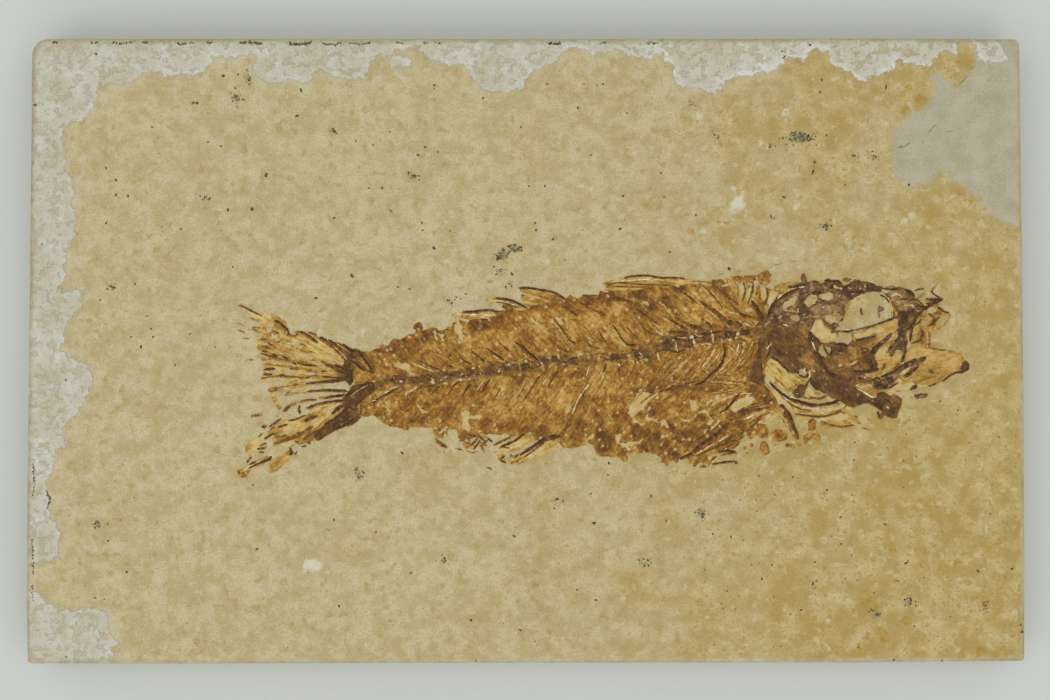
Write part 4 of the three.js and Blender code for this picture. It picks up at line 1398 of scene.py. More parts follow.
def make_vertebrae():
    """Vertebrae from the tail to the head, growing longer and wider on the way."""
    bm = bmesh.new()
    bm.verts.layers.float.new("tone")
    draw = np.random.default_rng(41)
    path = smooth(BACKBONE, 1.0)
    runs = np.concatenate([[0], np.cumsum(np.hypot(*np.diff(path, axis=0).T))])
    spot = BARE_END
    while spot < runs[-1] - BARE_END:
        share = spot / runs[-1]
        long = 4.4 + 1.4 * share
        centre = np.array([np.interp(spot, runs, path[:, k]) for k in (0, 1)])
        further = np.array([np.interp(spot + 3, runs, path[:, k]) for k in (0, 1)])
        ahead = (further - centre) / np.hypot(*(further - centre))
        wide = (3.0 + 2.4 * share) * draw.uniform(0.7, 1.2)
        centre = centre + draw.normal(0, 0.8, 2)
        add_vertebra(bm, centre, ahead, (long * draw.uniform(0.7, 1.0), wide, 0.24 + 0.08 * share), draw)
        spot += 2 * long
    for face in bm.faces:
        face.smooth = True
    return finish("vertebrae", bm, bone, "backbone", ["backbone"])


make_film(
    "backbone_mass", "backbone", spine_finish, BACKBONE_MASS, slanted(-6), 4.0, thick=0.20, torn=1.6,
    seed=43, round_off=3.0, lumps=0.12, shade=MASS_SHADE, bare=MASS_BARE, glow=MASS_GLOW,
)
make_vertebrae()
make_slivers("spines", "backbone", slivers(SPINES), 0.16, 0.12)
make_slivers("glints", "backbone", slivers(GLINTS), 0.12, 0.30)

# %% [markdown]
# ## The tail
#
# Two lobes of thin amber web fan out from the dark, thick root plates. The rays in the web are
# jointed, so on the stone they break into short dashes towards the tip. Where they start they are
# packed side by side, which shows as low ridges on the root plates.

# %% Tail webs, root plates and rays
TAIL_WEB = """
patch 243,308 251,311 262,313 272,314 281,318 286,321 287,326 285,334 289,337 297,331 309,332 320,338 \
331,343 343,344 352,352 352,382 340,381 320,384 307,386 295,388 284,390 270,393 268,390 274,387 285,385 \
292,382 276,380 262,381 261,377 264,373 262,367 270,364 262,360 260,353 257,348 257,341 260,336 257,332 \
252,330 256,326 262,323 254,318
patch 350,396 344,398 330,403 318,405 308,409 312,412 302,416 292,421 284,420 276,424 270,430 262,433 \
258,438 250,441 246,445 245,452 250,456 256,452 264,450 267,446 264,443 268,437 276,434 272,440 273,446 \
284,447 296,446 306,443 318,440 328,432 340,424 352,414
patch 269,463 277,457 284,453 290,450 293,455 288,462 281,467 276,471 269,474 267,468
patch 237,470 246,466 253,461 264,457 271,456 272,459 263,464 252,470 246,474 240,477 238,474
patch 270,390 276,393 276,400 279,405 283,408 279,409 274,403 271,398
line 3 345,391 325,390.5 307,392 289,394
line 2.6 345,395 333,396.5 320,398
line 2.4 297,402 289,407 283,411
line 2 252,417 256,414.5 261,415
hole 268,368 276,368.5 279,371 273,373 268,372
hole 284,368 293,370 297,372 288,373 283,371
hole 266,328 272,330 268,333
hole 272,334 278,336 276,340 270,338
hole 262,342 272,343 270,346 262,345
hole 290,412 296,409 298,413 292,416
hole 283,432 290,430 288,434
hole 262,353 270,355 268,358 262,357
slit 1.6 300,373 310,374 318,374; 276,361 284,363 292,366
"""
TAIL_SHADE = """
dots 7 346,352 344,372 346,400 340,410
line 7 350,352 336,345 320,338; 350,410 332,420 318,434
dots 4 290,446 300,440 310,436
"""
TAIL_BARE = """
patch 292,337 300,340 306,347 300,350 292,344
patch 300,352 312,356 318,360 308,360 298,356
patch 266,321 274,324 272,329 266,327
patch 268,434 276,440 270,446 262,442
patch 286,414 296,410 302,412 292,418
patch 276,378 262,377 258,381 262,384 276,382
line 2 322,349 334,356 344,362; 325,357 336,362 345,367; 318,367 330,369 344,374; 325,405 336,402 346,400; \
322,412 334,406 344,403; 318,420 330,413 342,408; 300,425 310,420 320,414; 285,432 296,427 306,422; \
262,452 270,448 280,444; 254,460 262,455 272,452
line 2.4 264,376.5 276,377.5 290,380 305,381 318,379
line 2 270,372.5 284,374 296,374
line 2.4 318,393 306,396 296,399
line 2.6 341,399 330,399 316,402 306,405 300,409
line 2 338,409 326,415 312,423 304,429; 300,411 292,415 284,420 276,424; 296,427 288,430 278,435; 270,436 \
262,442 256,446; 268,348 280,352 292,354; 262,356 274,361 288,365 298,368; 300,357 312,362 324,366; \
274,335 284,341 296,348
patch 262,432 270,430 266,438 258,440
patch 282,443 292,440 296,444 286,450 278,450
"""
TAIL_GLOW = """
dots 9 252,312 262,318 272,370 290,370 250,470 258,446 264,426 292,424 280,392
dots 8 330,352 318,346 332,416 322,424
"""
TAIL_ROOT = """
patch 347,347 354,349 360,350 364,354 373,361 376,374 370,372 362,370 356,367 353,374 354,382 350,386 \
346,381 343,371 344,361 340,353 336,345 340,343
patch 348,391 352,387 360,384 368,381 374,382 378,388 374,393 367,398 360,403 357,408 362,412 359,418 \
352,421 345,424 336,430 326,436 318,441 314,438 324,427 335,419 345,410 342,403 345,396
"""
ROOT_SHADE = """
dots 6 352,352 357,355 348,362 347,370 349,378 354,392 362,388 370,386 352,402 346,412 340,418 330,427 \
320,437 362,392 356,398 347,420 336,430 345,384 346,395
"""
ROOT_GLOW = """
patch 355,361 360,359 368,366 372,372 362,370 356,366
"""
TAIL_RAYS = """
brown 1.4 240,305.5 251,311 262,316
dark 3>2.4 275,321 281,324 287,330 289,335
brown 2 286,335 290,336 295,336 299,331
dark 2.4>3.4 300,331 307,335 313,339 318,343
dark 4>5 320,338 331,345 340,353 347,360
dark 3 329,340 338,348 346,355; 337,343 347,353
dark 2.4 343,344 350,352
brown 2 309,332 316,335
rust 1.8 257,319 262,322
brown 1.8 253,328 260,328; 263,328 265,328.5
brown 2 272,331 279,333
brown 1.8 261,339 267,339
brown 2 268,343 276,348
brown 1.8 261,346 272,349; 277,343 282,340; 291,346 294,346.5
brown 2 300,344 306,346
dark 1.8 262,351 267,352
dark 2 272,354 277,356
brown 1.6 261,353 276,358 290,361 297,365
dark 2.4 283,357 288,359; 297,363 304,364
dark 2 303,365 317,366
brown 2.4 312,360 315,360
brown 2 322,362 332,366 342,370
brown 1.8 307,351 315,353
rust 2 265,365 278,366 290,367 300,369
dark 2.6 264,370 275,369
brown 2 290,369 299,369; 307,371 312,371
dark 2 321,371 327,371; 336,370 345,372
brown 2 261,379 275,377 290,377 305,378 317,376
dark 2.2 264,375 272,375
dark 2 279,375 285,375; 322,376 336,378 346,378
dark 2.4>2 345,380 333,381 320,382 307,384
rust 2 300,385 286,387 268,390
dark 2.4>1.8 347,391 325,390.5 313,391 307,392
rust 2 290,391 286,395
dark 2.2>1.6 344,395 333,396.5 323,398
dark 2.4>2 345,400 330,402 318,404 307,408
brown 2 316,400 308,400 300,403
rust 2 297,404 290,406 284,411
dark 5>6 350,410 335,420 325,427 316,438
dark 3 345,405 338,409 332,414; 350,418 340,425 328,433
dark 2.2 352,420 341,428; 358,418 347,426; 361,417 351,425
brown 2 314,418 308,421
brown 2.2 312,427 303,433 296,437 285,441 275,444
dark 3 320,430 310,436 303,439
brown 2 305,415 295,419 288,421; 281,419 270,426
dark 2.2 278,427 287,425
brown 2 275,427 271,430
dark 3 262,427 266,427
brown 2 262,434 258,437
dark 2 273,434 265,439
brown 1.8 276,437 280,436
brown 2 281,438 287,435
dark 2 257,449 265,448
brown 2 260,446 267,444
dark 2 259,452 264,452
brown 2 252,457 247,462
dark 2 256,462 250,464
dark 2.2 271,456 270,459 260,463 249,469
rust 3 238,470 241,474 250,470; 241,477 248,473
dark 2 290,448 292,453 289,455
brown 2.4>3 274,443 285,440 293,437 302,432
dark 3 301,434 308,430 313,426; 305,422 311,419 317,416
dark 2.4 300,405 299,409 300,413
dark 2.6 284,411 287,408 290,406
rust 3 269,391 276,389 284,388
dark 2.4 356,362 364,368 374,374; 363,353 368,359 373,364
brown 2.2 362,352 368,357
amber 1.6 345,398 352,392
dark 1.8 295,441 299,444
brown 1.8 302,447 306,446
dark 1.8 297,452 294,455
dark 2 307,443 310,443
brown 1.6 252,415 259,416
dark 2>2.6 321,362 332,367 343,371
dark 1.8 335,364.5 344,368; 334,369.5 344,373
rust 1.1 237,323 243,326; 238,330 245,333; 243,338 249,339
rust 1.2 250,318 258,322; 249,330 256,331
rust 1.1 238,305 243,307
rust 1.2 246,361 253,360
"""
# The pale row is a painted highlight along the dark root ridges.
ROOT_RIDGES = """
brown 3.4 356,361.5 361,365 366,370
dark 2.6>2 358,351 364,358 369,365 373,373
dark 2 352,361 358,366 364,371
brown 1.4 329,341 338,348 347,356
brown 1.1 331,344 339,350 348,359
amber 1 336,343 343,348 350,353
dark 1.2 343,344 350,349 356,352
dark 1 346,365 347,373 350,380
dark 1.2 349,364 351,372 351,380
rust 1 350,388 356,384 363,382
amber 1 368,385 360,390 350,397
dark 1.2 370,389 361,395 352,401
dark 1 372,392 363,399 355,405
dark 1.2 366,384 356,389 347,396
dark 1 352,399 346,404
dark 1.2 361,406 360,413 354,419
dark 1 348,409 340,414 331,420
dark 1.2 352,411 343,417 334,424
dark 1 352,415 342,421 332,427; 354,418 345,424 337,430
dark 2 345,404 352,409 358,411
dark 1.6 374,388 366,395 360,402
pale 1 334,347 340,352 347,361
"""

make_film(
    "tail_web", "tail_fin", web_finish, TAIL_WEB, fanned(372, 378), 4.0, thick=0.09, torn=0.9, seed=51,
    shade=TAIL_SHADE, bare=TAIL_BARE, glow=TAIL_GLOW,
)
make_film(
    "tail_root", "tail_fin", plate_finish, TAIL_ROOT, fanned(390, 378), 3.0, thick=0.26, seed=52,
    round_off=2.6, lumps=0.08, shade=ROOT_SHADE, glow=ROOT_GLOW,
)
make_slivers("tail_rays", "tail_fin", slivers(TAIL_RAYS), 0.14, 0.09, 1.12, 0.08)
make_slivers("root_ridges", "tail_fin", slivers(ROOT_RIDGES), 0.09, 0.24)

# %% [markdown]
# ## The other fins
#
# Each fin is a scrap of web with the stumps of its rays, so one short recipe makes them all: a
# sheet for the web, and slivers for the rays.

# %% Fin webs and rays


def make_fin(name, web_table, ray_table, seed, lean, **tables):
    make_film(
        name + "_web", name, web_finish, web_table, slanted(lean), 4.0, thick=0.08, seed=seed, **tables
    )
    make_slivers(name + "_rays", name, slivers(ray_table), 0.14, 0.08, fade=0.07)


# In each fin's ray table below, the pale rows are painted highlights beside the dark rays.
make_fin("rear_dorsal_fin", """
patch 452,314 462,312 476,312 499,311 512,309 520,311 505,315 490,318 470,319 455,319
patch 486,298 497,297 508,299 519,303 528,309 515,311 505,309 500,304 488,303
patch 519,287 530,288 541,290 552,292 560,296 567,300 560,303 550,303 538,306 528,307 520,301 524,296
patch 583,294 598,295 598,299 584,298
""", """
amber 3>2 452,316 470,316 490,318
dark 2.4 463,312 475,312 488,311 499,312
pale 1.6 456,314 474,314.5 492,314.5
amber 3 486,299 489,301
dark 2.6>2 496,298 508,299.5 518,303 527,308
dark 2.2>1.6 496,301.5 508,304 518,307.5
pale 1.4 490,299.5 505,302 517,306
brown 5 503,306 508,308 512,310
dark 2.6>1.6 519,288 530,288 541,290 552,292 560,296 566,300
brown 2 521,295 524,296
rust 1.4 523,292 536,295 548,299; 521,298 534,300 545,303
dark 2 583,295 590,296 598,296
amber 2 519,289 522,292
""", 61, 12, glow="dots 6 456,316 488,300 521,290", shade="dots 6 508,308 500,313 558,299")

make_fin("front_dorsal_fin", """
patch 601,284 605,282 624,277.5 640,275.5 650,275.5 661,276.5 673,277.5 686,278.5 700,281 714,282 710,286 \
690,286 670,289 650,289 630,291 612,292 604,290 606,286
""", """
dark 2.2>1.6 624,279 630,277 640,276 650,276 660,277 672,278 685,279
brown 1.6 605,283 610,284 620,283 640,284 660,285 675,286
rust 1.4 606,286 620,286.5 640,287 655,286.5
pale 1.2 612,281.5 630,280 650,279.5 670,281
rust 1.4 690,281 700,282 712,283
""", 62, 3, glow="dots 5 620,282 650,281 680,282 700,283")

make_fin("anal_fin", """
patch 556,434 550,436 540,441 530,448 520,455 512,460 518,465 530,460 540,456 551,451 558,443 562,437
patch 525,433 516,437 506,440 494,445 500,451 512,452 526,447 534,440 534,435
patch 457,430 466,432 478,432 488,434 486,438 476,440 466,438 459,436
patch 462,441 472,442 480,446 474,450 464,448
patch 497,455 503,453 506,458 502,463 498,461
patch 508,457 515,455 520,459 514,464 509,463
""", """
brown 2 493,446 503,441 511,437
dark 2.4 500,447 510,443 518,439 525,434
brown 1.8 500,447 511,449
dark 5>2.4 560,436 548,438 540,442 530,449 520,455
brown 2 544,443 534,450 524,457
dark 1.8 500,460 504,456; 500,460 506,463; 514,459 518,454; 516,462 519,461
brown 1.8 511,464 514,461
dark 1.8 510,457 511,454
rust 1.8 495,452 496,453
rust 2 487,467 492,470
brown 2 463,436 467,438 470,441
dark 2 468,434 473,435 478,437
dark 1.8 470,446 474,442 478,438
brown 1.8 466,442 470,444 474,446
dark 1.8 474,449 477,444 480,440
dark 2 478,434 481,438 484,441
brown 1.8 482,446 485,443 488,440; 459,441 463,439 466,438
rust 1.8 484,451 482,448 480,445
rust 1.6 466,451 472,453 478,452
brown 1.6 436,439 441,443 447,447; 436,441 440,445 446,448; 457,448 461,450
brown 2 462,441 468,444
rust 1.8 466,448 470,446
brown 1.8 480,442 486,446
dark 1.8 488,438 492,442
pale 1.4 518,462 530,456 542,450; 508,449 518,446 528,441; 552,444 542,449 534,454
""", 63, -35, glow="dots 7 505,446 520,444 530,455 540,452 476,444", shade="dots 4 472,436 486,440",
         bare="dots 3 466,440 478,446 490,448")

make_fin("pelvic_fin", """
patch 742,421 730,422 720,428 708,438 698,444 690,450 680,457 681,460 690,457 700,452 710,449 720,446 \
731,445 741,440 748,430
patch 688,456 695,454 700,458 699,464 693,466 688,462
patch 704,459 712,456 716,459 711,464 704,465
patch 714,446 728,447 733,449 720,450
""", """
dark 5>3 729,424 720,432 708,441 700,446 693,452 680,459
brown 2 744,426 730,432 716,440 702,450; 742,432 726,440 710,449 698,456
dark 2 736,440 720,446 706,452
brown 1.8 744,436 734,444 722,450
dark 2.4 718,452 727,451 735,452
brown 2 722,455 735,452; 716,456 710,461
dark 2 713,464 725,462 737,461
dark 3.4 735,463 737,463.5
brown 2 700,467 706,466; 690,447 684,453
dark 2 704,436 696,441 688,446
pale 1.4 714,444 704,449 694,455; 728,436 718,441
""", 64, -38, glow="dots 6 700,448 724,458 712,463", shade="dots 6 724,430 710,440 696,450",
         bare="line 2 728,444 716,450 706,456\nline 2 742,444 732,448 724,449")

make_fin("pectoral_fin", """
patch 775,404 764,402 754,407 744,412 733,416 728,421 738,424 744,434 752,430 764,422 774,414 782,420 \
790,432 796,442 801,440 796,428 790,414 784,404
""", """
brown 2.4>1.4 768,408 757,410 748,413 737,419 729,420
brown 2>1.2 762,415 755,424 746,432
dark 2.4 780,405 788,412 793,425 798,440
brown 1.8 772,404 764,406 752,408
brown 1.6 770,412 760,417 748,424
rust 1.6 776,408 784,418 790,430
brown 1.6 764,402 754,404 744,408
pale 1.4 766,411 756,414 744,420
""", 65, -30, bare="dots 4 768,418 776,424\nline 3 752,418 762,424\nline 3 780,428 786,438",
         shade="dots 5 756,428 788,420")

# %% [markdown]
# ## The head
#
# The skull is crushed flat, so plates that once overlapped in depth now lie side by side: the
# roof, the ring round the eye with the stone showing inside it, the gill cover behind, and the
# cheek. Thick plates are dark, and between them lies a thin amber skin. The eye and the gaps
# between plates are real holes in the sheets, drawn with "hole" rows.

# %% The skull's plates and the skin between them
HEAD_SKIN = """
patch 768,318 770,306 766,296 770,288 778,284 788,282 797,281 800,284 794,290 784,296 776,304 772,316
patch 852,333 862,329.5 872,327 884,323.5 896,321 899,326 897,331 892,336 884,338 882,342 872,350 862,350 \
853,344 851,338
patch 868,354 874,350 882,344 890,340 896,336 897,342 892,348 890,356 896,354 902,350 904,362 900,366 \
893,371 884,375 876,381 868,384 866,378 872,372 878,370 877,362 872,356
patch 886,290 896,289 906,291 913,294 918,300 924,306 920,310 912,312 902,312 896,316 893,308 888,298
patch 838,300 850,298 850,304 847,312 842,322 838,318 842,308
patch 852,384 862,381 872,388 880,390 876,398 866,396 856,390
patch 812,319 821,318 828,325 836,329 838,336 830,341 822,344 816,340 810,331
"""
HEAD_SKIN_BARE = """
patch 889,293 897,292 903,294 903,299 896,299 890,298
patch 903,302 909,303 908,306 903,305
patch 910,303 916,303 918,307 912,309
patch 853,334 864,331 876,328 884,326 882,331 870,335 858,338
patch 880,350 886,345 888,350 886,357 880,358 876,355
patch 894,344 897,340 897,345 893,349
patch 882,372 888,370 892,371 884,374
patch 862,292 874,291 880,292
patch 771,296 776,290 782,290 776,297
dots 2.5 858,385 862,387 898,358 772,288
patch 815,321 821,319 825,326 833,330 829,337 820,340 815,336 811,331
patch 781,298 792,293 799,294 798,305 790,311 783,311
patch 828,330 836,330 838,337 831,341
"""
HEAD_SKIN_SHADE = """
line 3 857,340 866,338 875,336
patch 857,341 866,339 876,338 880,341 874,347 864,347 858,346
dots 3 898,364 901,361 844,308 893,304 898,308 908,296
line 2.4 781,293 787,291 792,290
dots 2 882,367 884,364
"""
HEAD_SKIN_GLOW = """
dots 8 890,327 880,332 884,362 892,360 820,328 824,336
"""
make_film(
    "head_skin", "skull", jaw_finish, HEAD_SKIN, slanted(-20), 3.0, gap=0.85, thick=0.07, torn=0.8,
    seed=70, shade=HEAD_SKIN_SHADE, bare=HEAD_SKIN_BARE, glow=HEAD_SKIN_GLOW,
)

SKULL = """
patch 766,318 768,310 771,304 775,298.5 779,295 785,291.5 791,290.5 796,288 798,284 801,281.5 801,276 \
804,272 807,278 807,282.5 811,281.5 816,281 820,283 825,282.5 825,279.5 829,279 833,281 838,280 842,282.5 \
843,286 847,284.5 851,282.5 855,281 862,282 870,282.5 875,283.5 877,286 882,286.5 888,286.5 891,286 \
895,286.5 900,288.5 906,289.5 911,290.5 914,293 913,297 917,300 921,303 924,306 920,309.5 913,309.5 \
916,311 919,313 914,318 912,324 908,329 906,333 907.5,340 906.5,350 904.5,357 903,363 901.5,361 903,352 \
900,350 896,349 894,353 892,357.5 889.5,355 892,350 889,351 887,354 885.5,351 890,345 894,341 898,336 \
897,331 898.5,326 897,320 893,317 893.5,312 896,316 899,311 900,306 894,306 889,299 884,292.5 880,291.5 \
870,292 862,294 857,297 853,299.5 849,301 847,304 845,308 845,313 842,320 842,322 839,322 839,326 834,329 \
828,327.5 824,325 822,319 815,320 813,326 810,331 800,326 790,327 778,326 770,326 766,324
patch 842,278.5 847,278 851,279 849,281.5 843,281
patch 853,280 857,279.5 861,280.5 857,282
patch 870,352 872,347 877,343 884,339 888,337 891,333.5 893,336 888,341 884,344 879,349 875,354 872,356
patch 881,370 884,362.5 887,365 884,370 881,372
line 1.6 843,331.5 850,330.5 862,329 874,325.5 886,321 894,318
line 2 857,340 866,338 875,336
line 2.4 832,332 836,331 841,331
line 1.8 852,332 853,336
hole 782,305 786,301 791,298 796,295 798,297 796,302 793,306 787,308 786,311 783,310
hole 804,303 807,298 811,294 816,295 818,299 815,303 809,307 806,306
hole 819,295 825,293 829,291.5 833,294 833,299 829,301 822,299.5 819,298.5
hole 833,285 837,286 840,288 838,289 834,287.5
hole 824,315 827,316 830,313.5 833,316.5 837,315.5 836.5,319 838,322 833,322.5 831,325 828,321.5 825,319.5
hole 790,317.5 794,314.5 797,311.5 798,315 800,320 798,322.5 794,321.5
hole 777.5,318 781,315.5 783,316 780,319
slit 1.6 804,317.5 812,317 820,316.5
slit 1.5 787,310.5 792,311.5 796,312
"""
SKULL_SHADE = """
dots 6 843,288 850,289 858,287 866,286 874,287 846,294 852,295 860,290
dots 5 827,282 832,283 839,283 816,283 800,284 804,284
line 5 768,316 772,306 778,299 785,294 795,289
line 3 819,299.5 826,303 836,303 844,300
dots 5 902,314 904,322 902,332 900,343 904,345 912,293 909,297 916,303 912,312
line 3.5 788,287 796,286 803,285
dots 4 808,290 814,291 820,291 802,292 800,298 800,306 806,312 800,312 786,319 784,324 774,320
line 6 884,340 878,346 873,352
"""
SKULL_BARE = """
dots 1.2 806,295 823,307.5 828,307 836,312 839,296 798,304 860,288 842,290 866,286 793,312
line 1.2 799,308 798,313 796,317
line 1.6 882,291 888,293 892,292
line 2 892,297 897,295.5 902,297; 905,305.5 910,305 914,307
line 1.4 893,304 897,308 901,309; 888,343 893,338
dots 1.6 886,290 905,305 897,303
"""
SKULL_GLOW = """
dots 7 832,308 838,313 828,311 815,308 822,311 790,318 897,303 904,299 890,306 808,286 822,287 796,296
dots 7 898,298 906,303 892,292 912,299
dots 6 846,305 856,286 898,346
"""
make_film(
    "skull_plates", "skull", roof_finish, SKULL, slanted(-25), 3.5, gap=0.72, thick=0.22, torn=0.7,
    seed=71, round_off=2.4, lumps=0.12, shade=SKULL_SHADE, bare=SKULL_BARE, glow=SKULL_GLOW,
)

# %% [markdown]
# Crushed plates crack along their thickest lines, and the edges of those ridges catch the light.
# Both are slivers laid over the plates, dark for a ridge and pale or white for a painted
# highlight along a ridge or a painted glint, because a sliver keeps its crisp edge where paint on
# the plate would blur.

# %% Ridges and broken edges on the skull
SKULL_RIDGES = """
dark 4>3 768,317 771,309 776,302 783,297 790,292 797,289
pale 1.7 777,299 783,294 790,290 796,288
white 1.2 799,288 803,286.5 807,286
dark 2.2 788,287.5 793,287 798,285
dark 3 825,281 830,282 836,282 842,285
rust 2.4 843,280 850,280
dark 2 812,282 817,282
dark 2.4 811,292 816,293 821,292
dark 2 818,299 822,300
brown 2 786,312 792,314 797,314
brown 1.8 824,321 828,326 835,328
dark 2.4 841,321 843,319
dark 1.6 786,324.5 790,325
white 1.3 783,325 787,325.5 790,326
dark 2.2 843,331 847,332 851,331
white 1.4 845,329.5 850,329
dark 2>1 895,318 886,321 876,324.5
brown 1.2 876,324.5 866,327.5 854,330
dark 1.8 880,295 885,297 889,302
brown 1.6 884,294 888,298
rust 1.8 879,307 883,309 880,311
brown 1.6 879,306 878.5,311 879,317
dark 1.6 860.5,308 861,311 862,315
pale 1.2 881,293 888,299 892,308 892.5,316
dark 2.2 856,341 866,338.5 876,336.5
dark 2 884,340 889,336 892,333
dark 2.4 903,336 905,345 905,352
dark 1.8 905,350 904,356 903,362
dark 2.2 897,340 892,346 888,352
brown 2 899,346 895,350 893,355
amber 1.6 896,341 891,346
dark 3 905,291 911,293 914,296
brown 2.4 913,299 918,301 923,305
dark 2 920,306 924,307
brown 2 900,299 908,299 914,301
dark 2.2 875,287 884,288.5 892,289.5 900,289
brown 2 898,287.5 906,290
brown 1.8 893,302 896,308 898,313
dark 2.4 913,310 907,316 903,320
dark 2.6 912,324 908,330
brown 1.6 804,276 804,281
dark 1.8 851,283 860,282.5 870,284
dark 1.6 846,292 856,292 866,291
pale 1.2 848,287 851,289; 860,288 862,289
brown 2 816,284 822,286 830,287; 800,300 800,307 803,312
brown 1.8 838,305 843,310 843,316
white 1 835,312.5 838,310.5
white 1.2 822,307.5 825,307
"""
make_slivers("skull_ridges", "skull", slivers(SKULL_RIDGES), 0.12, 0.18)

# %% [markdown]
# The gill cover and the cheek are the thickest and darkest plates. The opening behind them shows
# a pale skin a little lower, so that is a thinner sheet of its own.

# %% The gill cover and the cheek
GILL_COVER = """
patch 766,325 770,321 775,326 780,328 786,324 792,326 797,321 802,326 806,324 810,332.5 812,332 815,336 \
819,338.5 820,342 826,343.5 831,342 835,341.5 839,344.5 844,343.5 848,344.5 852,340 856,342 862,347.5 \
869,349 872,352.5 873,356 876,360 877.5,366 878,369.5 870,371.5 862,374 868,377 874,379 872,384 866,384 \
862,382 855,385 856,389 863,392 868,396 873,398 877,394.5 881,391 886,393 890,396.5 893,394.5 898,396.5 \
902,399 901.5,404 899,411 896.5,417.5 892,418.5 888,415.5 884,415 881,419.5 877.5,417.5 882,412 880,410 \
875,407 870,404 865,403 858,406 853,407.5 846,404.5 840,401 832,398 826,395 820,391 815,389.5 811,384 \
809,378.5 806,376 806,371 800,369 799,374.5 795,373.5 789,372.5 785,368.5 779,363 775,359.5 769,357.5 \
767,361 763,366 762,350 766,342 763,334
patch 792,393 795,389 799,385 804,384.5 806,388 805,393 803,397 799,398.5 795,397
hole 819,347 822,344.5 826,345.5 830,347 831,350 828,355 825,357.5 821,356 818,352
slit 1.5 858,389.5 863,391.5 867,395 872,397.5 876,396
slit 2 853,364 857,360.5
"""
GILL_SHADE = """
dots 7 775,335 790,334 778,350 790,352 800,350 792,364 798,368
line 6 811,336 814,346 818,355 823,365 829,373 836,378 848,381
dots 6 815,380 818,385 812,342 817,346 868,360 872,366 834,352 842,348 866,352
dots 7 842,390 852,396 862,400 872,402 846,402 832,386 880,404 892,408 884,398
line 3 850,372 862,372 876,369.5; 846,380 854,378 862,379
dots 4 799,391 802,388 798,396
"""
GILL_BARE = """
dots 1.3 804,370 807,373 810,372 812,370 809,377 806,378 861,375 857,377.5 864,376 840,354 887,406 840,367
line 1.3 811,345 813,348 815,351
line 1.2 768,349 771,343; 809,334 811,340; 855,370 862,370.5
"""
GILL_GLOW = """
dots 5 846,364 843,362 851,360
dots 4 805,362 812,364 888,402 862,385 868,390 856,355 852,362
"""
make_film(
    "gill_plates", "gill_cover", plate_finish, GILL_COVER, slanted(50), 4.5, thick=0.27, seed=72,
    round_off=3.0, lumps=0.12, shade=GILL_SHADE, bare=GILL_BARE, glow=GILL_GLOW,
)

GILL_WINDOW = """
patch 766,363 770,359 777,359.5 781,364 786,369 789,373.5 795,374.5 799,377 803,380 807,380 806,383 \
800,384.5 795,388 791,393 783,389 776,384 769,380 764.5,375 764,369
patch 806,389 808,383 811,387 815,391 821,393.5 816,397 808,398 804,398
"""
WINDOW_SHADE = """
line 2 766,370 771,373
patch 776,368 781,370 784,373 782,378 778,375 776,371
dots 2 774,384 775,382 790,388 791,385 797,386 772,366
line 1.6 776,375 780,381 782,386
"""
make_film(
    "gill_opening_skin", "gill_cover", web_finish, GILL_WINDOW, slanted(45), 2.4, thick=0.14, torn=0.4,
    seed=73, round_off=2.5, lumps=0.05, shade=WINDOW_SHADE,
    bare="dots 2 786,376 800,380\npatch 807,386 811,388 816,393 808,396",
    glow="dots 9 782,372 776,364 788,380 768,374",
)

# The white and pale rows here are painted glints and painted highlights on the gill cover's ridges.
GILL_RIDGES = """
dark 4>3.4 809,333 811,344 816,354 822,364 829,373
dark 3.4>2 829,373 836,377 846,380 856,379
pale 1.5 810,340 813,347 816,352
dark 2 770,357 777,360 783,366 789,371; 799,375 805,377 808,375
white 1.6 801,369 804,371 806,373
white 1.5 808,371 810,375 809,379
white 1.4 812,370 815,372
dark 1.8 808,381 806,385 805,389
dark 3 853,371.5 862,372 872,370.5 877,369; 875,368.5 878,369.5
white 1.4 877,366 878,368
pale 1.5 850,366 853,363 857,360
white 1.3 858,389 863,391.5 867,394.5 872,397.5 876,396
dark 3 862,397 870,402 878,406 884,411
dark 3>2 846,381 854,378 862,379
brown 2 855,375 863,375
dark 2 856,389 850,386 844,384
dark 2.4 810,378 813,385 818,390
brown 2 778,340 790,346 800,356
dark 2 884,398 890,404 893,412
brown 2 894,396 899,400 899,408
dark 2 878,412 879,417; 886,413 889,417
white 1.2 886,406 888,409
white 1.6 767,349 771,343
dark 2.4 768,340 770,350 766,358
dark 1.8 823,346 828,354
white 1.2 796,393 798,394
dark 2 835,345 842,344 848,346
brown 2 858,350 868,350 873,356
dark 2.4 870,360 873,366
brown 1.6 786,332 796,336 804,340
"""
make_slivers("gill_ridges", "gill_cover", slivers(GILL_RIDGES), 0.12, 0.22)

# %% [markdown]
# The shoulder bone is a dark bow behind the gill cover. The jaws are open: the upper one is a torn
# amber skin, and the lower one a plate with a dark, thicker bone along it. Under the gill cover
# the rays are curved slivers on a faint skin.

# %% The shoulder bone, the jaws and the gill rays
SHOULDER = """
patch 760,328 765,334 765,342 762,350 762.5,366 764,376 765,384 758,385 750,381 746,373 747,362 753,356 \
757,350 758,340
"""
make_film(
    "shoulder_plate", "shoulder_bone", plate_finish, SHOULDER, slanted(70), 4.0, thick=0.28, torn=0.7,
    seed=74, round_off=3.0, lumps=0.10, shade="dots 7 758,368 761,354 758,378 762,340",
    glow="dots 4 751,362",
)

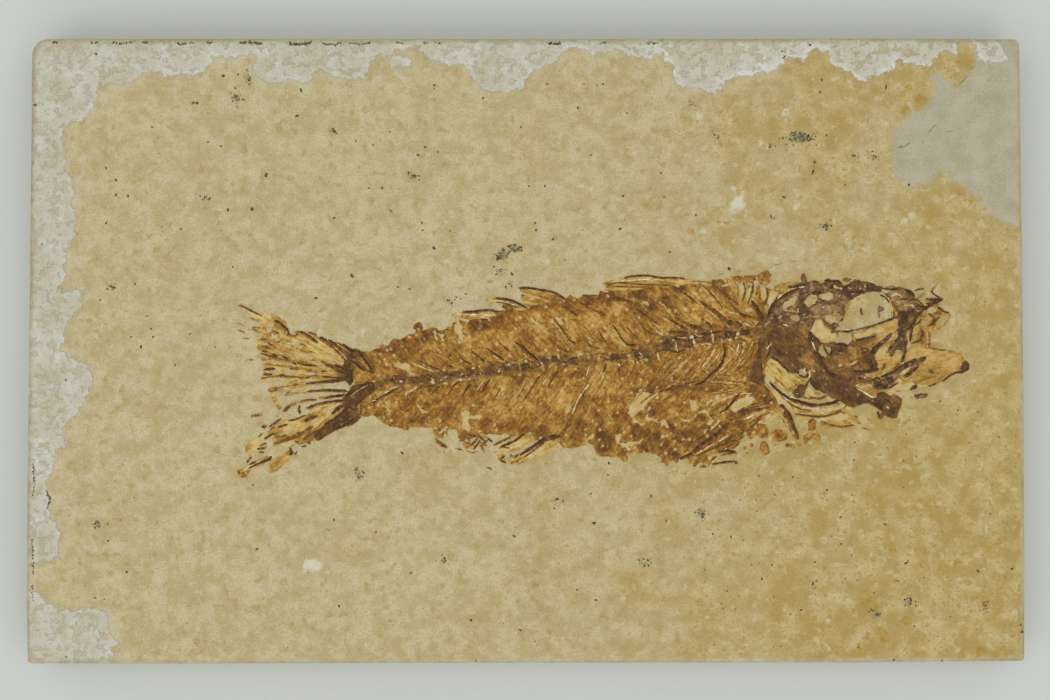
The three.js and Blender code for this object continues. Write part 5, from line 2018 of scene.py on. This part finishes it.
UPPER_JAW = """
patch 926,301 931,298.5 940,299 938,303 944,309 950,314 950,318 944,325 937,330 930.5,333 930,349 \
925.5,349 918,343 911,345 909,341 911,332 914,323 917,316 921,311
hole 921,321 924,319.5 927,322 925,326 921,326
hole 913,336 916,333 918,337 916,342 913,341
hole 939,304 942,308 938,306.5
hole 926,309 932,306.5 937,309 935,315 929,317 926,314
hole 941,315 946,316 944,321 939,325 935,327 937,322
hole 917,326 920,328 919,333 916,331
"""
make_film(
    "upper_jaw_skin", "upper_jaw", jaw_finish, UPPER_JAW, slanted(-60), 3.0, gap=0.72, thick=0.13,
    torn=0.5, seed=75, round_off=2.4, lumps=0.05,
    shade="dots 3 921,330 923,335 920,339 930,304 935,302 940,312 934,324 928,345",
    bare="dots 2 930,316 934,313 942,316", glow="line 6 948,317 941,326 932,332",
)
# The white row is a painted glint on the upper jaw.
UPPER_BONES = """
dark 3>3.4 942,300 935,302 929,306 923,310
dark 3.4>1.8 923,310 918,315 914,322 911,331 910,341
dark 2.4 926,299 933,299.5 940,299.5
white 1.4 938,300 940.5,300
dark 1.5 931,291 935,294.5 940,298; 915,291 919,289 924,289
rust 1.3 931,290 933,288 936,286
amber 1.2 924,293 921,296 918,299
dark 2 926,304 931,303.5
dark 2.2>1.4 938,307 943,310.5 949,313.5
brown 1.2 949,314 949,318
amber 1.2 948,320 943,326 937,330
brown 1.6 934,313 939,314 940,318
dark 1.6 927,326 932,324 937,320 939,317
brown 1.8 929,314 934,318 932,322
rust 3.4 928,331 928.5,340 928,348
brown 2.6 922,329 922,334 920,340
dark 1.6 911,344 916,342 921,341; 921,342 922,344
brown 1.6 920,316 925,317
dark 1.6 915,325 919,322 921,318
amber 1.4 913,300 918,303 923,306
"""
make_slivers("upper_jaw_bones", "upper_jaw", slivers(UPPER_BONES), 0.14, 0.12)

LOWER_JAW = """
patch 904,353 910,347.5 918,346 929,348.5 940,348 950,350 958,354 965,359 970,365 969,370 965,372 \
957,372.5 949,376.5 943,380.5 935,385 925,387 912,388 902,391 891,393 882,391 873,388 870,384 873,379.5 \
879,380 884,376.5 893,371.5 900,365
"""
LOWER_JAW_BARE = """
patch 886,391 896,385 906,383 918,384 928,384 920,388 904,390 892,393
dots 3 898,381 903,372 907,369
"""
make_film(
    "lower_jaw_plate", "lower_jaw", jaw_finish, LOWER_JAW, slanted(-15), 3.5, thick=0.15, torn=0.5,
    seed=76, round_off=3.0, lumps=0.06, bare=LOWER_JAW_BARE, line="line 1.3 928,371 933,372",
    shade="line 2 914,383 925,380 936,377\ndots 3 963,368 966,365 930,371",
    glow="dots 10 950,358 940,352 915,352 930,352",
)
DENTARY = """
patch 872,385 874,380 879,380.5 884,376.5 893,372 898,368 903,363.5 908,360 914,358 918,358.5 921,356.5 \
926,355.5 927.5,359 924,361.5 919,363.5 920,366 913,371 906,376 903,376.5 906,373 910,369 906,370 901,374 \
900,377.5 896,380 893,384 898,382 896,385 889,388.5 884,390.5 878,389.5 872,388
patch 960.5,366 961.5,361.5 966,360.5 969.5,364 968.5,370 963.5,371.5 960,369.5
patch 909,390 912,385 916,382.5 919,385.5 915,389 911,391
patch 914,395 920,393.5 928,393.5 927,397 919,398.5 914,398
"""
make_film(
    "dentary_bone", "lower_jaw", roof_finish, DENTARY, slanted(-28), 3.0, gap=0.72, thick=0.24,
    torn=0.5, seed=78, round_off=2.4, lumps=0.10,
    shade="dots 4 905,365 912,362 880,384 890,380 923,358 966,366 914,387 885,386",
    bare="dots 1 911,366 908,368 882,382", glow="dots 3 894,376 916,364",
)
# The white row and the pale row are a painted glint and a painted highlight on the lower jaw.
LOWER_BONES = """
dark 1.8 880,378 887,374.5 895,371 903,365
dark 2 904,376 911,372 918,367
brown 1.6 904,378 912,374
pale 1.3 901,373 906,370 911,367
dark 2.4>1.2 963,372 956,373 949,376.5 942,381
dark 1.4 936,384 929,386
brown 1.6 930,348.5 936,349.5 945,350.5
amber 1.4 945,350.5 955,353 964,359
rust 1.4 914,383 925,380 936,377
brown 1.6 928,371 933,372; 937,373 939,373.5
brown 2 894,369 898,365 902,362
white 1.3 899,363 903,363
dark 1.8 873,380 877,378 880,380
dark 1.6 889,388 896,384 899,382
dark 2 921,358 926,357
"""
make_slivers("lower_jaw_bones", "lower_jaw", slivers(LOWER_BONES), 0.12, 0.16)

GILL_RAY_SKIN = """
patch 769,383 775,388 783,394 791,399 800,400 815,403 830,402 840,400.5 852,407 848,412 857,416 860,424 \
846,428 830,428 820,424 812,420 800,419 794,414 786,406 776,396
patch 762,384 768,384 772,392 782,402 792,410 797,418 790,418 780,408 770,398 764,392
"""
make_film(
    "gill_ray_skin", "gill_rays", web_finish, GILL_RAY_SKIN, slanted(15), 3.0, gap=0.85, thick=0.05,
    torn=1.0, seed=77, lumps=0.02, shade="dots 4 780,392",
    bare="line 5 796,408 820,410 842,408\nline 5 806,420 826,419 846,417\n"
    "patch 770,390 778,392 788,402 792,412 784,408 774,398",
)
# The pale rows are painted highlights beside the dark gill rays.
GILL_RAYS = """
dark 2>3 769,383 775,388 782,394 790,399
dark 3>3.4 790,399 800,402 812,405 822,405 832,403 838,401
pale 1.5 783,391 790,396 797,399
brown 1.6 810,397 818,398 827,396
brown 2 795,414 808,416 820,417 830,415 842,411; 820,421 830,425 842,427 853,425
dark 2.2 837,404 839,404; 856,416 857,418
brown 1.6 851,422 849,423
rust 1.2 862,428 870,429
brown 4 781,404 785,410
brown 6.4 785,411 789,418
brown 5.4>4 789,420 793,426
rust 3 785,417 790,425
brown 3.4>2 795,429 798,437
dark 2 782,405 788,413 793,424
dark 1.6>1 793,424 796,432 798,440
brown 2 783,413 788,421 793,430
pale 1.3 782,396 794,404 808,408 822,408
pale 1.2 800,412 814,414 828,412
brown 1.4 776,390 786,401 798,408 812,411; 764,385 768,392 772,400
dark 1.5 767,388 770,393
rust 1.2 800,397 812,399 826,399; 830,413 842,409 848,404
"""
make_slivers("gill_ray_bones", "gill_rays", slivers(GILL_RAYS), 0.15, 0.05)

# %% [markdown]
# ## The floor, the light and the camera
#
# The slab was photographed from straight above on pale card, in soft light that comes mostly from
# the lower side of the picture. The camera looks down with a long lens.

# %% Floor, lights and camera
LAMP = 6.45
AMBIENT = 0.70
CARD = 1.2


def make_floor():
    bm = bmesh.new()
    bmesh.ops.create_grid(bm, x_segments=2, y_segments=2, size=CARD)
    mesh = bpy.data.meshes.new("card_floor")
    bm.to_mesh(mesh)
    bm.free()
    f = Finish("pale_card", 0.9, 0.1)
    mesh.materials.append(f.done(f.mix(f.noise(60, 2), eye(199, 203, 199), eye(202, 206, 202))))
    floor = bpy.data.objects.new("card_floor", mesh)
    bpy.context.scene.collection.objects.link(floor)
    floor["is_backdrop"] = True


def soft_lamp(name, place, aim, size, power):
    data = bpy.data.lights.new(name, "AREA")
    data.shape, data.size, data.energy = "SQUARE", size, power
    lamp = bpy.data.objects.new(name, data)
    lamp.location = place
    away = Vector(place) - Vector(aim)
    lamp.rotation_euler = away.to_track_quat("Z", "Y").to_euler()
    bpy.context.scene.collection.objects.link(lamp)


make_floor()
soft_lamp("window_light", (-0.06, -0.24, 1.15), (0, 0, 0), 1.2, LAMP)
world = bpy.data.worlds.new("room")
world.use_nodes = True
world.node_tree.nodes["Background"].inputs["Color"].default_value = (1.0, 1.0, 1.0, 1.0)
world.node_tree.nodes["Background"].inputs["Strength"].default_value = AMBIENT
bpy.context.scene.world = world
bpy.context.scene.view_settings.view_transform = "Standard"

PICTURE = np.array([1050.0, 700.0])
LENS, SENSOR = 85.0, 36.0
camera_data = bpy.data.cameras.new("camera")
camera_data.lens, camera_data.sensor_width = LENS, SENSOR
camera_data.clip_start, camera_data.clip_end = 0.01, 10.0
camera = bpy.data.objects.new("camera", camera_data)
aim = to_stone(PICTURE / 2)
camera.location = (aim[0], aim[1], FACE + LENS / SENSOR * PICTURE[0] * STEP)
bpy.context.scene.collection.objects.link(camera)
bpy.context.scene.camera = camera
print("camera height", round(camera.location.z, 4))

# %% Print the sizes and finish
sizes = {"cad": cad_box, "looks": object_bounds()}
sizes = {key: [[float(c) for c in corner] for corner in box] for key, box in sizes.items()}
print(sizes)
